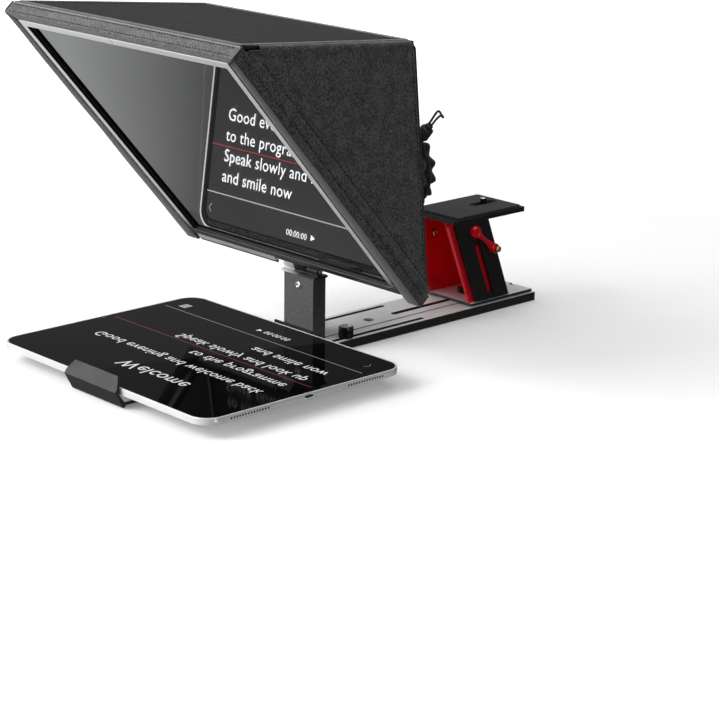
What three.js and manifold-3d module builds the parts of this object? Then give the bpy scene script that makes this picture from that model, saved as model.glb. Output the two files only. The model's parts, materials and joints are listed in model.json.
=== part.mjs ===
// Tablet teleprompter: folding hood, tilting beam-splitter frame, column, slotted rail,
// sliding tablet arm with a prompting tablet, and a sliding, height-adjustable camera riser.
// Millimetres, +Z up, -Y towards the presenter, +Y towards the camera, +X to the right
// seen from the presenter's side. The origin is on the rail's underside, on its centre
// line, in the middle of the seat where a tripod plate is bolted.

import * as THREE from 'three';
import { mergeVertices } from 'three/addons/utils/BufferGeometryUtils.js';
import Module from 'manifold-3d';

const wasm = await Module();
wasm.setup();

// ---------- driving dimensions ----------

const GAP = 0.3;
const ROUND_STEPS = 24;

// rail
const RAIL_HALF_WIDTH = 32.6;
const RAIL_HEIGHT = 8;
const RAIL_FRONT_Y = -101;
const RAIL_BACK_Y = 173;
const LAND_HALF_WIDTH = 13;
const LAND_RISE = 0.6;
const LAND_TOP_Z = RAIL_HEIGHT + LAND_RISE;
const CHANNEL_INNER_X = 20.5;
const CHANNEL_OUTER_X = 30.8;
const CHANNEL_ROOF_Z = 4.2;
const SIDE_SLOT_X = 26;
const SIDE_SLOT_WIDTH = 4.6;
const SIDE_SLOT_Y = [-86, 30];
const CENTRE_SLOT_WIDTH = 6;
const CENTRE_SLOT_Y = [15, 164];
const NUT_POCKET_HALF_WIDTH = 7.2;
const NUT_POCKET_Y = [30, 166];
const NUT_POCKET_ROOF_Z = 4.4;
const TRIPOD_HOLE_Y = -14;
const TRIPOD_BUSH_RADIUS = 4.75;

// column
const COLUMN_HALF_WIDTH = 19.1;
const COLUMN_DEPTH = 14.5;
const COLUMN_FRONT_Y = -99;
const COLUMN_BACK_Y = COLUMN_FRONT_Y + COLUMN_DEPTH;
const COLUMN_MID_Y = COLUMN_FRONT_Y + COLUMN_DEPTH / 2;
const COLUMN_TOP_Z = 65.5;
const COLUMN_WALL = 2;
const COLUMN_SCREW_Z = 56.8;
const COLUMN_SCREW_X = 10;

// tilt hinge
const HINGE_Y = -94;
const HINGE_Z = 72.5;
const HINGE_PIN_RADIUS = 1.8;
const HINGE_BARREL_RADIUS = 3.6;
const HINGE_HALF_WIDTH = 22;
const HINGE_CENTRE_HALF_WIDTH = 7.6;

// glass frame, in slope coordinates: x, s up the slope, n towards the camera
const MOUTH_Y = -100.3;
const MOUTH_Z = 71.1;
const SLOPE_DEG = 49;
const FRAME_HALF_WIDTH = 136.2;
const FRAME_S = [9.9, 288.5];
const FRAME_DEPTH = 10;
const FRAME_BAR = 7;
const GLASS_N = [3.4, 5.4];
const GLASS_LAP = 4;

// hood
const HOOD_BOTTOM_HALF_WIDTH = 154.6;
const HOOD_TAPER_PER_S = 0.01934;
const HOOD_TAPER_PER_N = 0.1301;
const HOOD_WRAP = 12;
const HOOD_TOP_S = 296.2;
const HOOD_BACK_S = 158;
const HOOD_BACK_N = 145.6;
const PANEL = 3;
const PANEL_GAP = 0.6;
const LENS_AXIS_DOWN_PANEL = 143;
const BACK_PANEL_SHORT = 9;
const LENS_OPENING_RADIUS = 41;
const SLEEVE_ROOT_RADIUS = 44;
const SLEEVE_END_RADIUS = 38;
const SLEEVE_LENGTH = 118;
const SLEEVE_WALL = 2.4;
const CORD_LOCK_DEG = 40;

// tablet
const TABLET_WIDTH = 280.6;
const TABLET_DEPTH = 214.9;
const TABLET_THICK = 5.9;
const TABLET_FRONT_Y = -318;
const TABLET_BOTTOM_Z = 11.9;
const TABLET_CORNER = 18;
const TABLET_WALL = 1.6;
const TABLET_GLASS = 0.7;
const DISPLAY_INSET = 9;
const BATTERY_HALF = 92;
const BOARD_WIDTH = 26;
const PORT_LENGTH = 9;
const PORT_HEIGHT = 2.6;
const PORT_RISE = 1.7;
const PORT_DEPTH = 5;

// tablet arm
const ARM_THICK = 3;
const ARM_Z = 0.9;
const ARM_HALF_WIDTH = 30.4;
const PRONG_INNER_X = 21;
const PRONG_BACK_Y = -56;
const ARM_FRONT_Y = -316;
const LIP_APEX_Y = -324.1;
const LIP_APEX_Z = 15.2;
const LIP_TOP_Y = -317;
const LIP_TOP_Z = 26.5;
const LIP_HALF_WIDTH = 34.8;
const LIP_TOP_HALF_WIDTH = 28;
const LIP_THICK = 2;
const THUMB_SCREW_Y = -66;
const THUMB_HEAD_RADIUS = 6.7;
const THUMB_HEAD_HEIGHT = 10.8;

// camera riser
const RISER_FRONT_Y = 88;
const RISER_BACK_Y = 170;
const SLIDE_HALF_WIDTH = 31;
const SLIDE_THICK = 2.6;
const SLIDE_NUT_Y = 112;
const SLIDE_Z = LAND_TOP_Z + GAP;
const TOWER_Z = SLIDE_Z + SLIDE_THICK;
const TOWER_TOP_Z = 88;
const TOWER_HALF_WIDTH = 27.6;
const TOWER_WALL = 3;
const TOWER_FRONT_Y = 88.4;
const TOWER_DEPTH = 46;
const RISER_LEAN_DEG = 21.8;
const CHEEK_FRONT_Y = 94.2;
const CHEEK_DEPTH = 43.6;
const CHEEK_OUTER_X = 31;
const CHEEK_WALL = 3.1;
const CHEEK_BOTTOM_Z = 12.2;
const PLATFORM_UNDER_Z = 89.4;
const PLATFORM_THICK = 4;
const PLATFORM_FRONT_Y = 65;
const PLATFORM_LENGTH = 92;
const PLATFORM_PAD = 2;
const RISER_SLOT_WIDTH = 7.2;
const CLAMP_Z = 80.3;
const GUIDE_PIN_Z = 68.4;
const SLOT_BOTTOM_Z = 18;
const SLOT_TOP_Z = 84.5;
const LEVER_LENGTH = 31;
const LEVER_DROP_DEG = 37.6;
const CAMERA_SCREW_Y = 132;
const CAMERA_SLOT_TRAVEL = 12;

// ---------- solids ----------

function toSolid(geometry) {
  const bare = geometry.clone();
  bare.deleteAttribute('normal');
  bare.deleteAttribute('uv');
  const merged = mergeVertices(bare, 1e-4);
  const vertProperties = new Float32Array(merged.attributes.position.array);
  const triVerts = new Uint32Array(merged.index.array);
  return new wasm.Manifold(new wasm.Mesh({ numProp: 3, vertProperties, triVerts }));
}

function toGeometry(solid) {
  const mesh = solid.getMesh();
  const geometry = new THREE.BufferGeometry();
  geometry.setAttribute('position', new THREE.BufferAttribute(new Float32Array(mesh.vertProperties), 3));
  geometry.setIndex(new THREE.BufferAttribute(new Uint32Array(mesh.triVerts), 1));
  geometry.computeVertexNormals();
  return geometry;
}

function join(...geometries) {
  let solid = toSolid(geometries[0]);
  for (const geometry of geometries.slice(1)) {
    solid = solid.add(toSolid(geometry));
  }
  return toGeometry(solid);
}

function cut(geometry, ...cutters) {
  let solid = toSolid(geometry);
  for (const cutter of cutters) {
    solid = solid.subtract(toSolid(cutter));
  }
  return toGeometry(solid);
}

function block([x0, x1], [y0, y1], [z0, z1]) {
  const geometry = new THREE.BoxGeometry(x1 - x0, y1 - y0, z1 - z0);
  return geometry.translate((x0 + x1) / 2, (y0 + y1) / 2, (z0 + z1) / 2);
}

// A round bar centred on a point, along one axis. A second radius makes it taper.
function rod(radius, length, axis, [x, y, z], steps = ROUND_STEPS, endRadius = radius) {
  const geometry = new THREE.CylinderGeometry(endRadius, radius, length, steps);
  if (axis === 'x') {
    geometry.rotateZ(-Math.PI / 2);
  }
  if (axis === 'z') {
    geometry.rotateX(Math.PI / 2);
  }
  return geometry.translate(x, y, z);
}

function shapeOf(points) {
  return new THREE.Shape(points.map(([a, b]) => new THREE.Vector2(a, b)));
}

// Outlines drawn in x-y, x-z or y-z and pushed along the third axis.
function prismZ(shape, [z0, z1]) {
  const options = { depth: z1 - z0, bevelEnabled: false, curveSegments: 6 };
  const geometry = new THREE.ExtrudeGeometry(shape, options);
  return geometry.translate(0, 0, z0);
}

function prismY(shape, [y0, y1]) {
  const geometry = prismZ(shape, [0, y1 - y0]);
  return geometry.rotateX(Math.PI / 2).translate(0, y1, 0);
}

function prismX(shape, [x0, x1]) {
  const turn = new THREE.Matrix4().makeBasis(
    new THREE.Vector3(0, 1, 0),
    new THREE.Vector3(0, 0, 1),
    new THREE.Vector3(1, 0, 0),
  );
  return prismZ(shape, [0, x1 - x0]).applyMatrix4(turn).translate(x0, 0, 0);
}

function roundedRectangle(halfX, halfY, radius) {
  const shape = new THREE.Shape();
  shape.absarc(halfX - radius, halfY - radius, radius, 0, Math.PI / 2);
  shape.absarc(-halfX + radius, halfY - radius, radius, Math.PI / 2, Math.PI);
  shape.absarc(-halfX + radius, -halfY + radius, radius, Math.PI, Math.PI * 1.5);
  shape.absarc(halfX - radius, -halfY + radius, radius, Math.PI * 1.5, Math.PI * 2);
  return shape;
}

function slotAlongY(x, [y0, y1], width, zRange) {
  const length = (y1 - y0) / 2;
  return prismZ(roundedRectangle(width / 2, length, width / 2 - 0.01), zRange).translate(x, (y0 + y1) / 2, 0);
}

// A round head with straight knurling, standing on the origin and pointing up.
function knurledHead(radius, height, teeth = 20) {
  const points = [];
  for (let i = 0; i < teeth * 2; i += 1) {
    const angle = (i * Math.PI) / teeth;
    const r = i % 2 ? radius : radius - 0.45;
    points.push([r * Math.cos(angle), r * Math.sin(angle)]);
  }
  return prismZ(shapeOf(points), [0, height]);
}

// Slides each level of a shape back and forth in y, so that it leans like the riser.
function leanFrom(geometry, baseZ) {
  const slope = Math.tan(THREE.MathUtils.degToRad(RISER_LEAN_DEG));
  const shear = new THREE.Matrix4().makeShear(0, 0, 0, 0, 0, -slope);
  const moved = geometry.translate(0, 0, -baseZ).applyMatrix4(shear);
  return moved.translate(0, 0, baseZ);
}

function leanAt(z, baseZ) {
  return -(z - baseZ) * Math.tan(THREE.MathUtils.degToRad(RISER_LEAN_DEG));
}

// ---------- scene graph ----------

const teleprompter = new THREE.Group();

function finish(color, roughness, metalness) {
  return new THREE.MeshStandardMaterial({ color, roughness, metalness });
}

function addPart(parent, name, geometry, material) {
  const mesh = new THREE.Mesh(geometry, material);
  mesh.name = name;
  parent.add(mesh);
  return mesh;
}

const blackSatin = () => finish('#17181a', 0.42, 0.55);
const blackPlastic = () => finish('#1b1b1c', 0.55, 0);
const silverSatin = () => finish('#b9babb', 0.35, 0.85);
const steel = () => finish('#8f9194', 0.3, 1);
const redAnodised = () => finish('#b4060f', 0.3, 0.8);
const brass = () => finish('#c49a4a', 0.3, 1);
const hoodFabric = () => finish('#3a3b3c', 0.95, 0);
const rubber = () => finish('#141414', 0.85, 0);

// ---------- rail ----------

function railProfile() {
  const half = [
    [CHANNEL_INNER_X, 0],
    [CHANNEL_INNER_X, CHANNEL_ROOF_Z],
    [CHANNEL_OUTER_X, CHANNEL_ROOF_Z],
    [CHANNEL_OUTER_X, 0],
    [RAIL_HALF_WIDTH, 0],
    [RAIL_HALF_WIDTH, RAIL_HEIGHT],
    [LAND_HALF_WIDTH, RAIL_HEIGHT],
    [LAND_HALF_WIDTH, LAND_TOP_Z],
  ];
  const mirrored = half.map(([x, z]) => [-x, z]).reverse();
  return shapeOf([...half, ...mirrored]);
}

function addRail(parent) {
  const through = [-1, LAND_TOP_Z + 1];
  const screwHoles = [-COLUMN_SCREW_X, COLUMN_SCREW_X].flatMap((x) => [
    rod(2.3, 20, 'z', [x, COLUMN_MID_Y, 4]),
    rod(4.4, 6, 'z', [x, COLUMN_MID_Y, -0.2]),
  ]);
  const rail = cut(
    prismY(railProfile(), [RAIL_FRONT_Y, RAIL_BACK_Y]),
    slotAlongY(-SIDE_SLOT_X, SIDE_SLOT_Y, SIDE_SLOT_WIDTH, through),
    slotAlongY(SIDE_SLOT_X, SIDE_SLOT_Y, SIDE_SLOT_WIDTH, through),
    slotAlongY(0, CENTRE_SLOT_Y, CENTRE_SLOT_WIDTH, through),
    block([-NUT_POCKET_HALF_WIDTH, NUT_POCKET_HALF_WIDTH], NUT_POCKET_Y, [-1, NUT_POCKET_ROOF_Z]),
    rod(TRIPOD_BUSH_RADIUS + 0.05, 20, 'z', [0, TRIPOD_HOLE_Y, 4]),
    rod(1.6, 10, 'z', [8, RAIL_BACK_Y - 5, 8]),
    ...screwHoles,
  );
  addPart(parent, 'base_rail', rail, finish('#a6a8aa', 0.38, 0.8));

  const bush = cut(
    rod(TRIPOD_BUSH_RADIUS, 7.4, 'z', [0, TRIPOD_HOLE_Y, 4.4]),
    rod(3.2, 20, 'z', [0, TRIPOD_HOLE_Y, 4]),
  );
  addPart(parent, 'tripod_thread_bush', bush, steel());

  const stop = join(
    rod(1.5, 5, 'z', [8, RAIL_BACK_Y - 5, 6.6]),
    rod(2.6, 1.8, 'z', [8, RAIL_BACK_Y - 5, LAND_TOP_Z + 1], 16),
  );
  addPart(parent, 'rail_stop_screw', stop, blackSatin());
}

// ---------- column ----------

function addColumn(parent) {
  const inner = COLUMN_HALF_WIDTH - COLUMN_WALL;
  const innerY = [COLUMN_FRONT_Y + COLUMN_WALL, COLUMN_BACK_Y - COLUMN_WALL];
  const baseZ = LAND_TOP_Z + 0.1;
  const tube = cut(
    block([-COLUMN_HALF_WIDTH, COLUMN_HALF_WIDTH], [COLUMN_FRONT_Y, COLUMN_BACK_Y], [baseZ, COLUMN_TOP_Z]),
    block([-inner, inner], innerY, [baseZ - 1, COLUMN_TOP_Z + 1]),
    rod(2.3, 10, 'y', [0, COLUMN_FRONT_Y, COLUMN_SCREW_Z]),
  );
  addPart(parent, 'column_tube', tube, blackSatin());

  const clear = 0.15;
  const blockX = [-inner + clear, inner - clear];
  const blockY = [innerY[0] + clear, innerY[1] - clear];
  const tapped = [-COLUMN_SCREW_X, COLUMN_SCREW_X].map((x) => rod(2.1, 40, 'z', [x, COLUMN_MID_Y, 10]));
  const foot = cut(block(blockX, blockY, [baseZ, baseZ + 14]), ...tapped);
  addPart(parent, 'column_foot_block', foot, finish('#3b3d40', 0.5, 0.7));

  const head = cut(
    block(blockX, blockY, [COLUMN_TOP_Z - 16, COLUMN_TOP_Z]),
    rod(2.0, 30, 'y', [0, COLUMN_FRONT_Y, COLUMN_SCREW_Z]),
  );
  addPart(parent, 'column_head_block', head, finish('#3b3d40', 0.5, 0.7));

  const cross = join(
    rod(1.9, 9, 'y', [0, COLUMN_FRONT_Y + 4.4, COLUMN_SCREW_Z]),
    rod(3.4, 1.4, 'y', [0, COLUMN_FRONT_Y - 0.75, COLUMN_SCREW_Z], 20),
  );
  addPart(parent, 'column_cross_screw', cross, steel());

  const baseScrews = [
    ['column_base_screw_left', -COLUMN_SCREW_X],
    ['column_base_screw_right', COLUMN_SCREW_X],
  ];
  for (const [name, x] of baseScrews) {
    const screw = join(
      rod(2, 16, 'z', [x, COLUMN_MID_Y, 9]),
      rod(4, 2.2, 'z', [x, COLUMN_MID_Y, 1.5], 20),
    );
    addPart(parent, name, screw, steel());
  }

  const ledge = join(
    block([-30, 30], [COLUMN_FRONT_Y - 2.1, COLUMN_FRONT_Y - 0.1], [RAIL_HEIGHT + 0.9, 40]),
    block([-30, 30], [COLUMN_FRONT_Y - 24, COLUMN_FRONT_Y - 0.1], [8.6, 10.2]),
  );
  const ledgeTrim = block([-31, 31], [COLUMN_FRONT_Y - 3, COLUMN_FRONT_Y + 1], [19, 41]);
  addPart(parent, 'tablet_ledge', cut(ledge, ledgeTrim), blackSatin());
  const ledgePad = block([-29, 29], [COLUMN_FRONT_Y - 23.5, COLUMN_FRONT_Y - 4.5], [10.2, 11.6]);
  addPart(parent, 'tablet_ledge_pad', ledgePad, rubber());
}

// ---------- tilt hinge ----------

function addHingeBase(parent) {
  const reach = [HINGE_CENTRE_HALF_WIDTH + 0.4, HINGE_HALF_WIDTH];
  const pieces = [
    block(
      [-HINGE_HALF_WIDTH, HINGE_HALF_WIDTH],
      [COLUMN_FRONT_Y - 1, COLUMN_BACK_Y],
      [COLUMN_TOP_Z + 0.1, COLUMN_TOP_Z + 2.4],
    ),
  ];
  for (const side of [-1, 1]) {
    const xs = [side * reach[0], side * reach[1]].sort((a, b) => a - b);
    const middle = (xs[0] + xs[1]) / 2;
    pieces.push(rod(HINGE_BARREL_RADIUS, xs[1] - xs[0], 'x', [middle, HINGE_Y, HINGE_Z]));
    pieces.push(block(xs, [HINGE_Y - 2.6, HINGE_Y + 2.6], [COLUMN_TOP_Z + 1, HINGE_Z]));
  }
  const bore = rod(HINGE_PIN_RADIUS + 0.1, 60, 'x', [0, HINGE_Y, HINGE_Z]);
  addPart(parent, 'hinge_leaf_lower', cut(join(...pieces), bore), blackSatin());
  addPart(parent, 'hinge_pin', rod(HINGE_PIN_RADIUS, 46, 'x', [0, HINGE_Y, HINGE_Z]), steel());
}

// ---------- glass frame ----------

// A group whose y runs up the slope and whose z points at the presenter.
function slopeGroup(parent) {
  const group = new THREE.Group();
  group.position.set(0, MOUTH_Y, MOUTH_Z);
  group.rotation.x = THREE.MathUtils.degToRad(180 - SLOPE_DEG);
  parent.add(group);
  return group;
}

function slab(x, s, [n0, n1]) {
  return block(x, s, [-n1, -n0]);
}

function ring(halfWidth, [s0, s1], bar, depth) {
  const outer = slab([-halfWidth, halfWidth], [s0, s1], depth);
  const through = [depth[0] - 1, depth[1] + 1];
  const inside = slab([-halfWidth + bar, halfWidth - bar], [s0 + bar, s1 - bar], through);
  return cut(outer, inside);
}

function addFrame(parent) {
  const slope = slopeGroup(parent);
  const pocket = FRAME_BAR - GLASS_LAP;
  const glassHalf = FRAME_HALF_WIDTH - pocket - GAP;
  const glassS = [FRAME_S[0] + pocket + GAP, FRAME_S[1] - pocket - GAP];
  const gasketN = [GLASS_N[0] - 1.2, GLASS_N[0] - 0.1];

  const frame = cut(
    ring(FRAME_HALF_WIDTH, FRAME_S, FRAME_BAR, [0, FRAME_DEPTH]),
    slab(
      [-FRAME_HALF_WIDTH + pocket, FRAME_HALF_WIDTH - pocket],
      [FRAME_S[0] + pocket, FRAME_S[1] - pocket],
      [gasketN[0] - 0.1, FRAME_DEPTH + 1],
    ),
  );
  addPart(slope, 'glass_frame', frame, finish('#222326', 0.28, 0.6));
  addPart(slope, 'glass_gasket', ring(glassHalf, glassS, GLASS_LAP - 0.6, gasketN), rubber());
  addPart(
    slope,
    'beam_splitter_glass',
    slab([-glassHalf, glassHalf], glassS, GLASS_N),
    finish('#8b9194', 0.03, 0.2),
  );
  const retainerN = [GLASS_N[1] + 0.1, FRAME_DEPTH - 1];
  addPart(slope, 'glass_retainer', ring(glassHalf, glassS, GLASS_LAP - 0.4, retainerN), blackPlastic());

  const corner = 12;
  for (const [side, sideName] of [[-1, 'left'], [1, 'right']]) {
    for (const [level, levelName] of [[0, 'lower'], [1, 'upper']]) {
      const x = side * (FRAME_HALF_WIDTH - 9);
      const s = level ? FRAME_S[1] - 9 : FRAME_S[0] + 9;
      const plate = slab(
        [x - corner / 2, x + corner / 2],
        [s - corner / 2, s + corner / 2],
        [FRAME_DEPTH + 0.1, FRAME_DEPTH + 1.4],
      );
      const head = rod(2.2, 0.8, 'z', [x, s, -(FRAME_DEPTH + 1.4)], 16);
      addPart(slope, `frame_corner_clip_${levelName}_${sideName}`, join(plate, head), blackSatin());
    }
  }

  // The upper hinge leaf: a plate under the bottom bar, a web and the middle knuckle.
  const pin = slopePoint(HINGE_Y, HINGE_Z);
  const web = HINGE_CENTRE_HALF_WIDTH;
  const leaf = cut(
    join(
      slab([-HINGE_HALF_WIDTH, HINGE_HALF_WIDTH], [FRAME_S[0] - 2.6, FRAME_S[0] - 0.1], [0.6, 9.4]),
      slab([-web, web], [pin.s, FRAME_S[0] - 2], [pin.n - 2.6, pin.n + 2.6]),
      rod(HINGE_BARREL_RADIUS, web * 2, 'x', [0, pin.s, -pin.n]),
    ),
    rod(HINGE_PIN_RADIUS + 0.1, 60, 'x', [0, pin.s, -pin.n]),
  );
  addPart(slope, 'hinge_leaf_upper', leaf, blackSatin());
}

function slopePoint(y, z) {
  const angle = THREE.MathUtils.degToRad(SLOPE_DEG);
  const dy = y - MOUTH_Y;
  const dz = z - MOUTH_Z;
  return {
    s: -dy * Math.cos(angle) + dz * Math.sin(angle),
    n: dy * Math.sin(angle) + dz * Math.cos(angle),
  };
}

// ---------- hood ----------

function hoodHalfWidth(s, n) {
  return HOOD_BOTTOM_HALF_WIDTH - HOOD_TAPER_PER_S * s - HOOD_TAPER_PER_N * n;
}

// The fabric collar round the frame's sides and top, as deep as the frame.
function hoodCollar() {
  const inner = FRAME_HALF_WIDTH + 0.5;
  const innerTop = FRAME_S[1] + 0.5;
  const low = hoodHalfWidth(0, HOOD_WRAP / 2);
  const high = hoodHalfWidth(HOOD_TOP_S, HOOD_WRAP / 2);
  const outline = [
    [inner, 0],
    [low, 0],
    [high, HOOD_TOP_S],
    [-high, HOOD_TOP_S],
    [-low, 0],
    [-inner, 0],
    [-inner, innerTop],
    [inner, innerTop],
  ];
  return prismZ(shapeOf(outline), [-HOOD_WRAP, 0]);
}

// Unit vectors of the hood's roof in slope coordinates.
const roof = new THREE.Vector2(HOOD_BACK_S - HOOD_TOP_S, HOOD_BACK_N - HOOD_WRAP);
const ROOF_LENGTH = roof.length();
const ROOF_ANGLE = Math.atan2(roof.y, -roof.x);
const back = new THREE.Vector2(HOOD_BACK_S, HOOD_BACK_N - HOOD_WRAP);
const BACK_LENGTH = back.length();
const BACK_ANGLE = Math.atan2(back.y, back.x);

function sidePanel(side) {
  const drop = (PANEL + PANEL_GAP) / Math.sin(ROOF_ANGLE);
  const topS = HOOD_TOP_S - drop;
  const tall = HOOD_BACK_N - HOOD_WRAP;
  const run = topS - HOOD_BACK_S + drop;
  const cutBack = drop * tall / (tall + run);
  const lean = Math.atan(HOOD_TAPER_PER_N);
  const stretch = 1 / Math.cos(lean);
  const peak = (tall - cutBack) * stretch;
  const peakS = HOOD_BACK_S * (tall - cutBack) / tall;
  const panel = prismZ(shapeOf([[0, 0], [topS - 2, 0], [peakS, peak]]), [0, PANEL]);
  // The outline's x becomes the way up the slope and its y the way back along the panel.
  const up = new THREE.Vector3(-side * HOOD_TAPER_PER_S, 1, 0).normalize();
  const deep = new THREE.Vector3(-side * HOOD_TAPER_PER_N, 0, -1).normalize();
  const across = new THREE.Vector3().crossVectors(up, deep).normalize();
  const pivotX = side * (hoodHalfWidth(0, HOOD_WRAP) - PANEL);
  const turn = new THREE.Matrix4().makeBasis(up, new THREE.Vector3().crossVectors(across, up), across);
  if (Math.sign(across.x) !== side) {
    panel.translate(0, 0, -PANEL);
  }
  return panel.applyMatrix4(turn).translate(pivotX, 1, -(HOOD_WRAP + GAP));
}

function trapezoid(length, nearHalf, farHalf) {
  return shapeOf([[-nearHalf, 0], [nearHalf, 0], [farHalf, length], [-farHalf, length]]);
}

function addHood(parent) {
  const slope = slopeGroup(parent);
  addPart(slope, 'hood_collar', hoodCollar(), hoodFabric());
  addPart(slope, 'hood_left_panel', sidePanel(-1), hoodFabric());
  addPart(slope, 'hood_right_panel', sidePanel(1), hoodFabric());

  const side = PANEL + PANEL_GAP;
  const roofPivotS = HOOD_TOP_S - PANEL / Math.sin(ROOF_ANGLE);
  const roofGroup = new THREE.Group();
  roofGroup.position.set(0, roofPivotS, -(HOOD_WRAP + GAP));
  roofGroup.rotation.x = Math.PI + ROOF_ANGLE;
  slope.add(roofGroup);
  const roofReach = ROOF_LENGTH - PANEL / Math.tan(ROOF_ANGLE) - 1;
  const roofNear = hoodHalfWidth(HOOD_TOP_S, HOOD_WRAP) - side;
  const roofFar = hoodHalfWidth(HOOD_BACK_S, HOOD_BACK_N) - side;
  const roofPanel = prismZ(trapezoid(roofReach, roofNear, roofFar), [0, PANEL]);
  addPart(roofGroup, 'hood_top_panel', roofPanel, hoodFabric());

  const backGroup = new THREE.Group();
  backGroup.position.set(0, HOOD_BACK_S, -HOOD_BACK_N);
  backGroup.rotation.x = Math.PI - BACK_ANGLE;
  slope.add(backGroup);
  const backReach = BACK_LENGTH - BACK_PANEL_SHORT;
  const backFar = hoodHalfWidth(0, HOOD_WRAP) - side;
  const opening = rod(LENS_OPENING_RADIUS, 20, 'z', [0, LENS_AXIS_DOWN_PANEL, 0], 32);
  const backPanel = cut(
    prismZ(trapezoid(backReach, roofFar, backFar), [GAP, GAP + PANEL]),
    opening,
  );
  addPart(backGroup, 'hood_back_panel', backPanel, hoodFabric());
  addSleeve(backGroup);
}

// The lens sleeve is a tapering cloth tube with a cord in its end hem and a sprung cord lock.
function addSleeve(parent) {
  const root = GAP + PANEL + 0.1;
  const middle = [0, LENS_AXIS_DOWN_PANEL, root + SLEEVE_LENGTH / 2];
  const boreRoot = SLEEVE_ROOT_RADIUS - SLEEVE_WALL;
  const boreEnd = SLEEVE_END_RADIUS - SLEEVE_WALL;
  const sleeve = cut(
    rod(SLEEVE_ROOT_RADIUS, SLEEVE_LENGTH, 'z', middle, 32, SLEEVE_END_RADIUS),
    rod(boreRoot, SLEEVE_LENGTH + 1, 'z', middle, 32, boreEnd),
  );
  addPart(parent, 'lens_sleeve', sleeve, finish('#1d1d1e', 0.95, 0));

  const hemZ = root + SLEEVE_LENGTH - 8;
  const cordRadius = SLEEVE_END_RADIUS + 1.9;
  const cord = new THREE.TorusGeometry(cordRadius, 1.1, 8, 40);
  cord.translate(0, LENS_AXIS_DOWN_PANEL, hemZ);
  addPart(parent, 'sleeve_cord', cord, finish('#101010', 0.8, 0));

  const lock = new THREE.Group();
  lock.position.set(0, LENS_AXIS_DOWN_PANEL, hemZ);
  lock.rotation.z = THREE.MathUtils.degToRad(CORD_LOCK_DEG);
  parent.add(lock);
  const low = -(cordRadius + 1.6);
  const shell = cut(
    block([-5, 5], [low - 13, low], [-4.5, 4.5]),
    block([-3.4, 3.4], [low - 14, low - 2], [-3, 3]),
  );
  addPart(lock, 'cord_lock_shell', shell, blackPlastic());
  addPart(lock, 'cord_lock_button', block([-3, 3], [low - 17, low - 7], [-2.6, 2.6]), blackPlastic());
}

// ---------- tablet arm ----------

function addArm(parent) {
  const z = [ARM_Z, ARM_Z + ARM_THICK];
  const plate = block([-ARM_HALF_WIDTH, ARM_HALF_WIDTH], [ARM_FRONT_Y, PRONG_BACK_Y], z);
  const plateCuts = [
    block([-PRONG_INNER_X, PRONG_INNER_X], [RAIL_FRONT_Y - 14, PRONG_BACK_Y + 1], [z[0] - 1, z[1] + 1]),
    prismZ(roundedRectangle(16, 36, 10), [z[0] - 1, z[1] + 1]).translate(0, -170, 0),
    prismZ(roundedRectangle(16, 36, 10), [z[0] - 1, z[1] + 1]).translate(0, -258, 0),
    rod(2.1, 20, 'z', [-SIDE_SLOT_X, THUMB_SCREW_Y, 2]),
    rod(2.1, 20, 'z', [SIDE_SLOT_X, THUMB_SCREW_Y, 2]),
  ];
  const lipOuter = [
    [ARM_FRONT_Y + 2, z[0]],
    [ARM_FRONT_Y - 0.6, z[0]],
    [LIP_APEX_Y, LIP_APEX_Z],
    [LIP_TOP_Y, LIP_TOP_Z],
    [LIP_TOP_Y + LIP_THICK, LIP_TOP_Z - 1],
    [LIP_APEX_Y + LIP_THICK * 1.25, LIP_APEX_Z],
    [ARM_FRONT_Y + 2, z[1]],
  ];
  const lip = cut(
    prismX(shapeOf(lipOuter), [-LIP_HALF_WIDTH, LIP_HALF_WIDTH]),
    ...[-1, 1].map((side) => lipCorner(side)),
  );
  addPart(parent, 'tablet_arm', join(cut(plate, ...plateCuts), lip), blackSatin());

  // The rubber lining fills the fold between the lip and the tablet's edge.
  const padFace = TABLET_FRONT_Y - 0.4;
  const padOutline = [
    [padFace, LIP_APEX_Z - 2.8],
    [padFace, LIP_APEX_Z + 2.8],
    [LIP_APEX_Y + 4.8, LIP_APEX_Z + 2.8],
    [LIP_APEX_Y + 3, LIP_APEX_Z],
    [LIP_APEX_Y + 4.9, LIP_APEX_Z - 2.8],
  ];
  const pad = prismX(shapeOf(padOutline), [-30, 30]);
  addPart(parent, 'lip_pad', pad, rubber());

  const restZ = [ARM_Z + ARM_THICK, TABLET_BOTTOM_Z - GAP];
  const rest = prismZ(roundedRectangle(27, 4, 3), restZ).translate(0, -214, 0);
  addPart(parent, 'arm_rest_pad', rest, rubber());
}

// Wedge that clips an upper corner off the lip.
function lipCorner(side) {
  const clip = LIP_HALF_WIDTH - LIP_TOP_HALF_WIDTH;
  const outline = [
    [side * (LIP_HALF_WIDTH + 1), LIP_APEX_Z + 1],
    [side * (LIP_HALF_WIDTH + 1), LIP_TOP_Z + 1],
    [side * (LIP_HALF_WIDTH - clip), LIP_TOP_Z + 1],
    [side * (LIP_HALF_WIDTH - clip * 0.35), LIP_TOP_Z - 4.5],
  ];
  return prismY(shapeOf(outline), [LIP_APEX_Y - 5, LIP_TOP_Y + 8]);
}

function addThumbScrews(parent) {
  for (const [name, x] of [['arm_thumb_screw_left', -SIDE_SLOT_X], ['arm_thumb_screw_right', SIDE_SLOT_X]]) {
    const screw = join(
      knurledHead(THUMB_HEAD_RADIUS, THUMB_HEAD_HEIGHT).translate(x, THUMB_SCREW_Y, RAIL_HEIGHT + GAP),
      rod(1.8, 9, 'z', [x, THUMB_SCREW_Y, 5.6], 16),
    );
    addPart(parent, name, screw, finish('#2a2b2d', 0.3, 0.8));
  }
}

// ---------- tablet ----------

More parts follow.
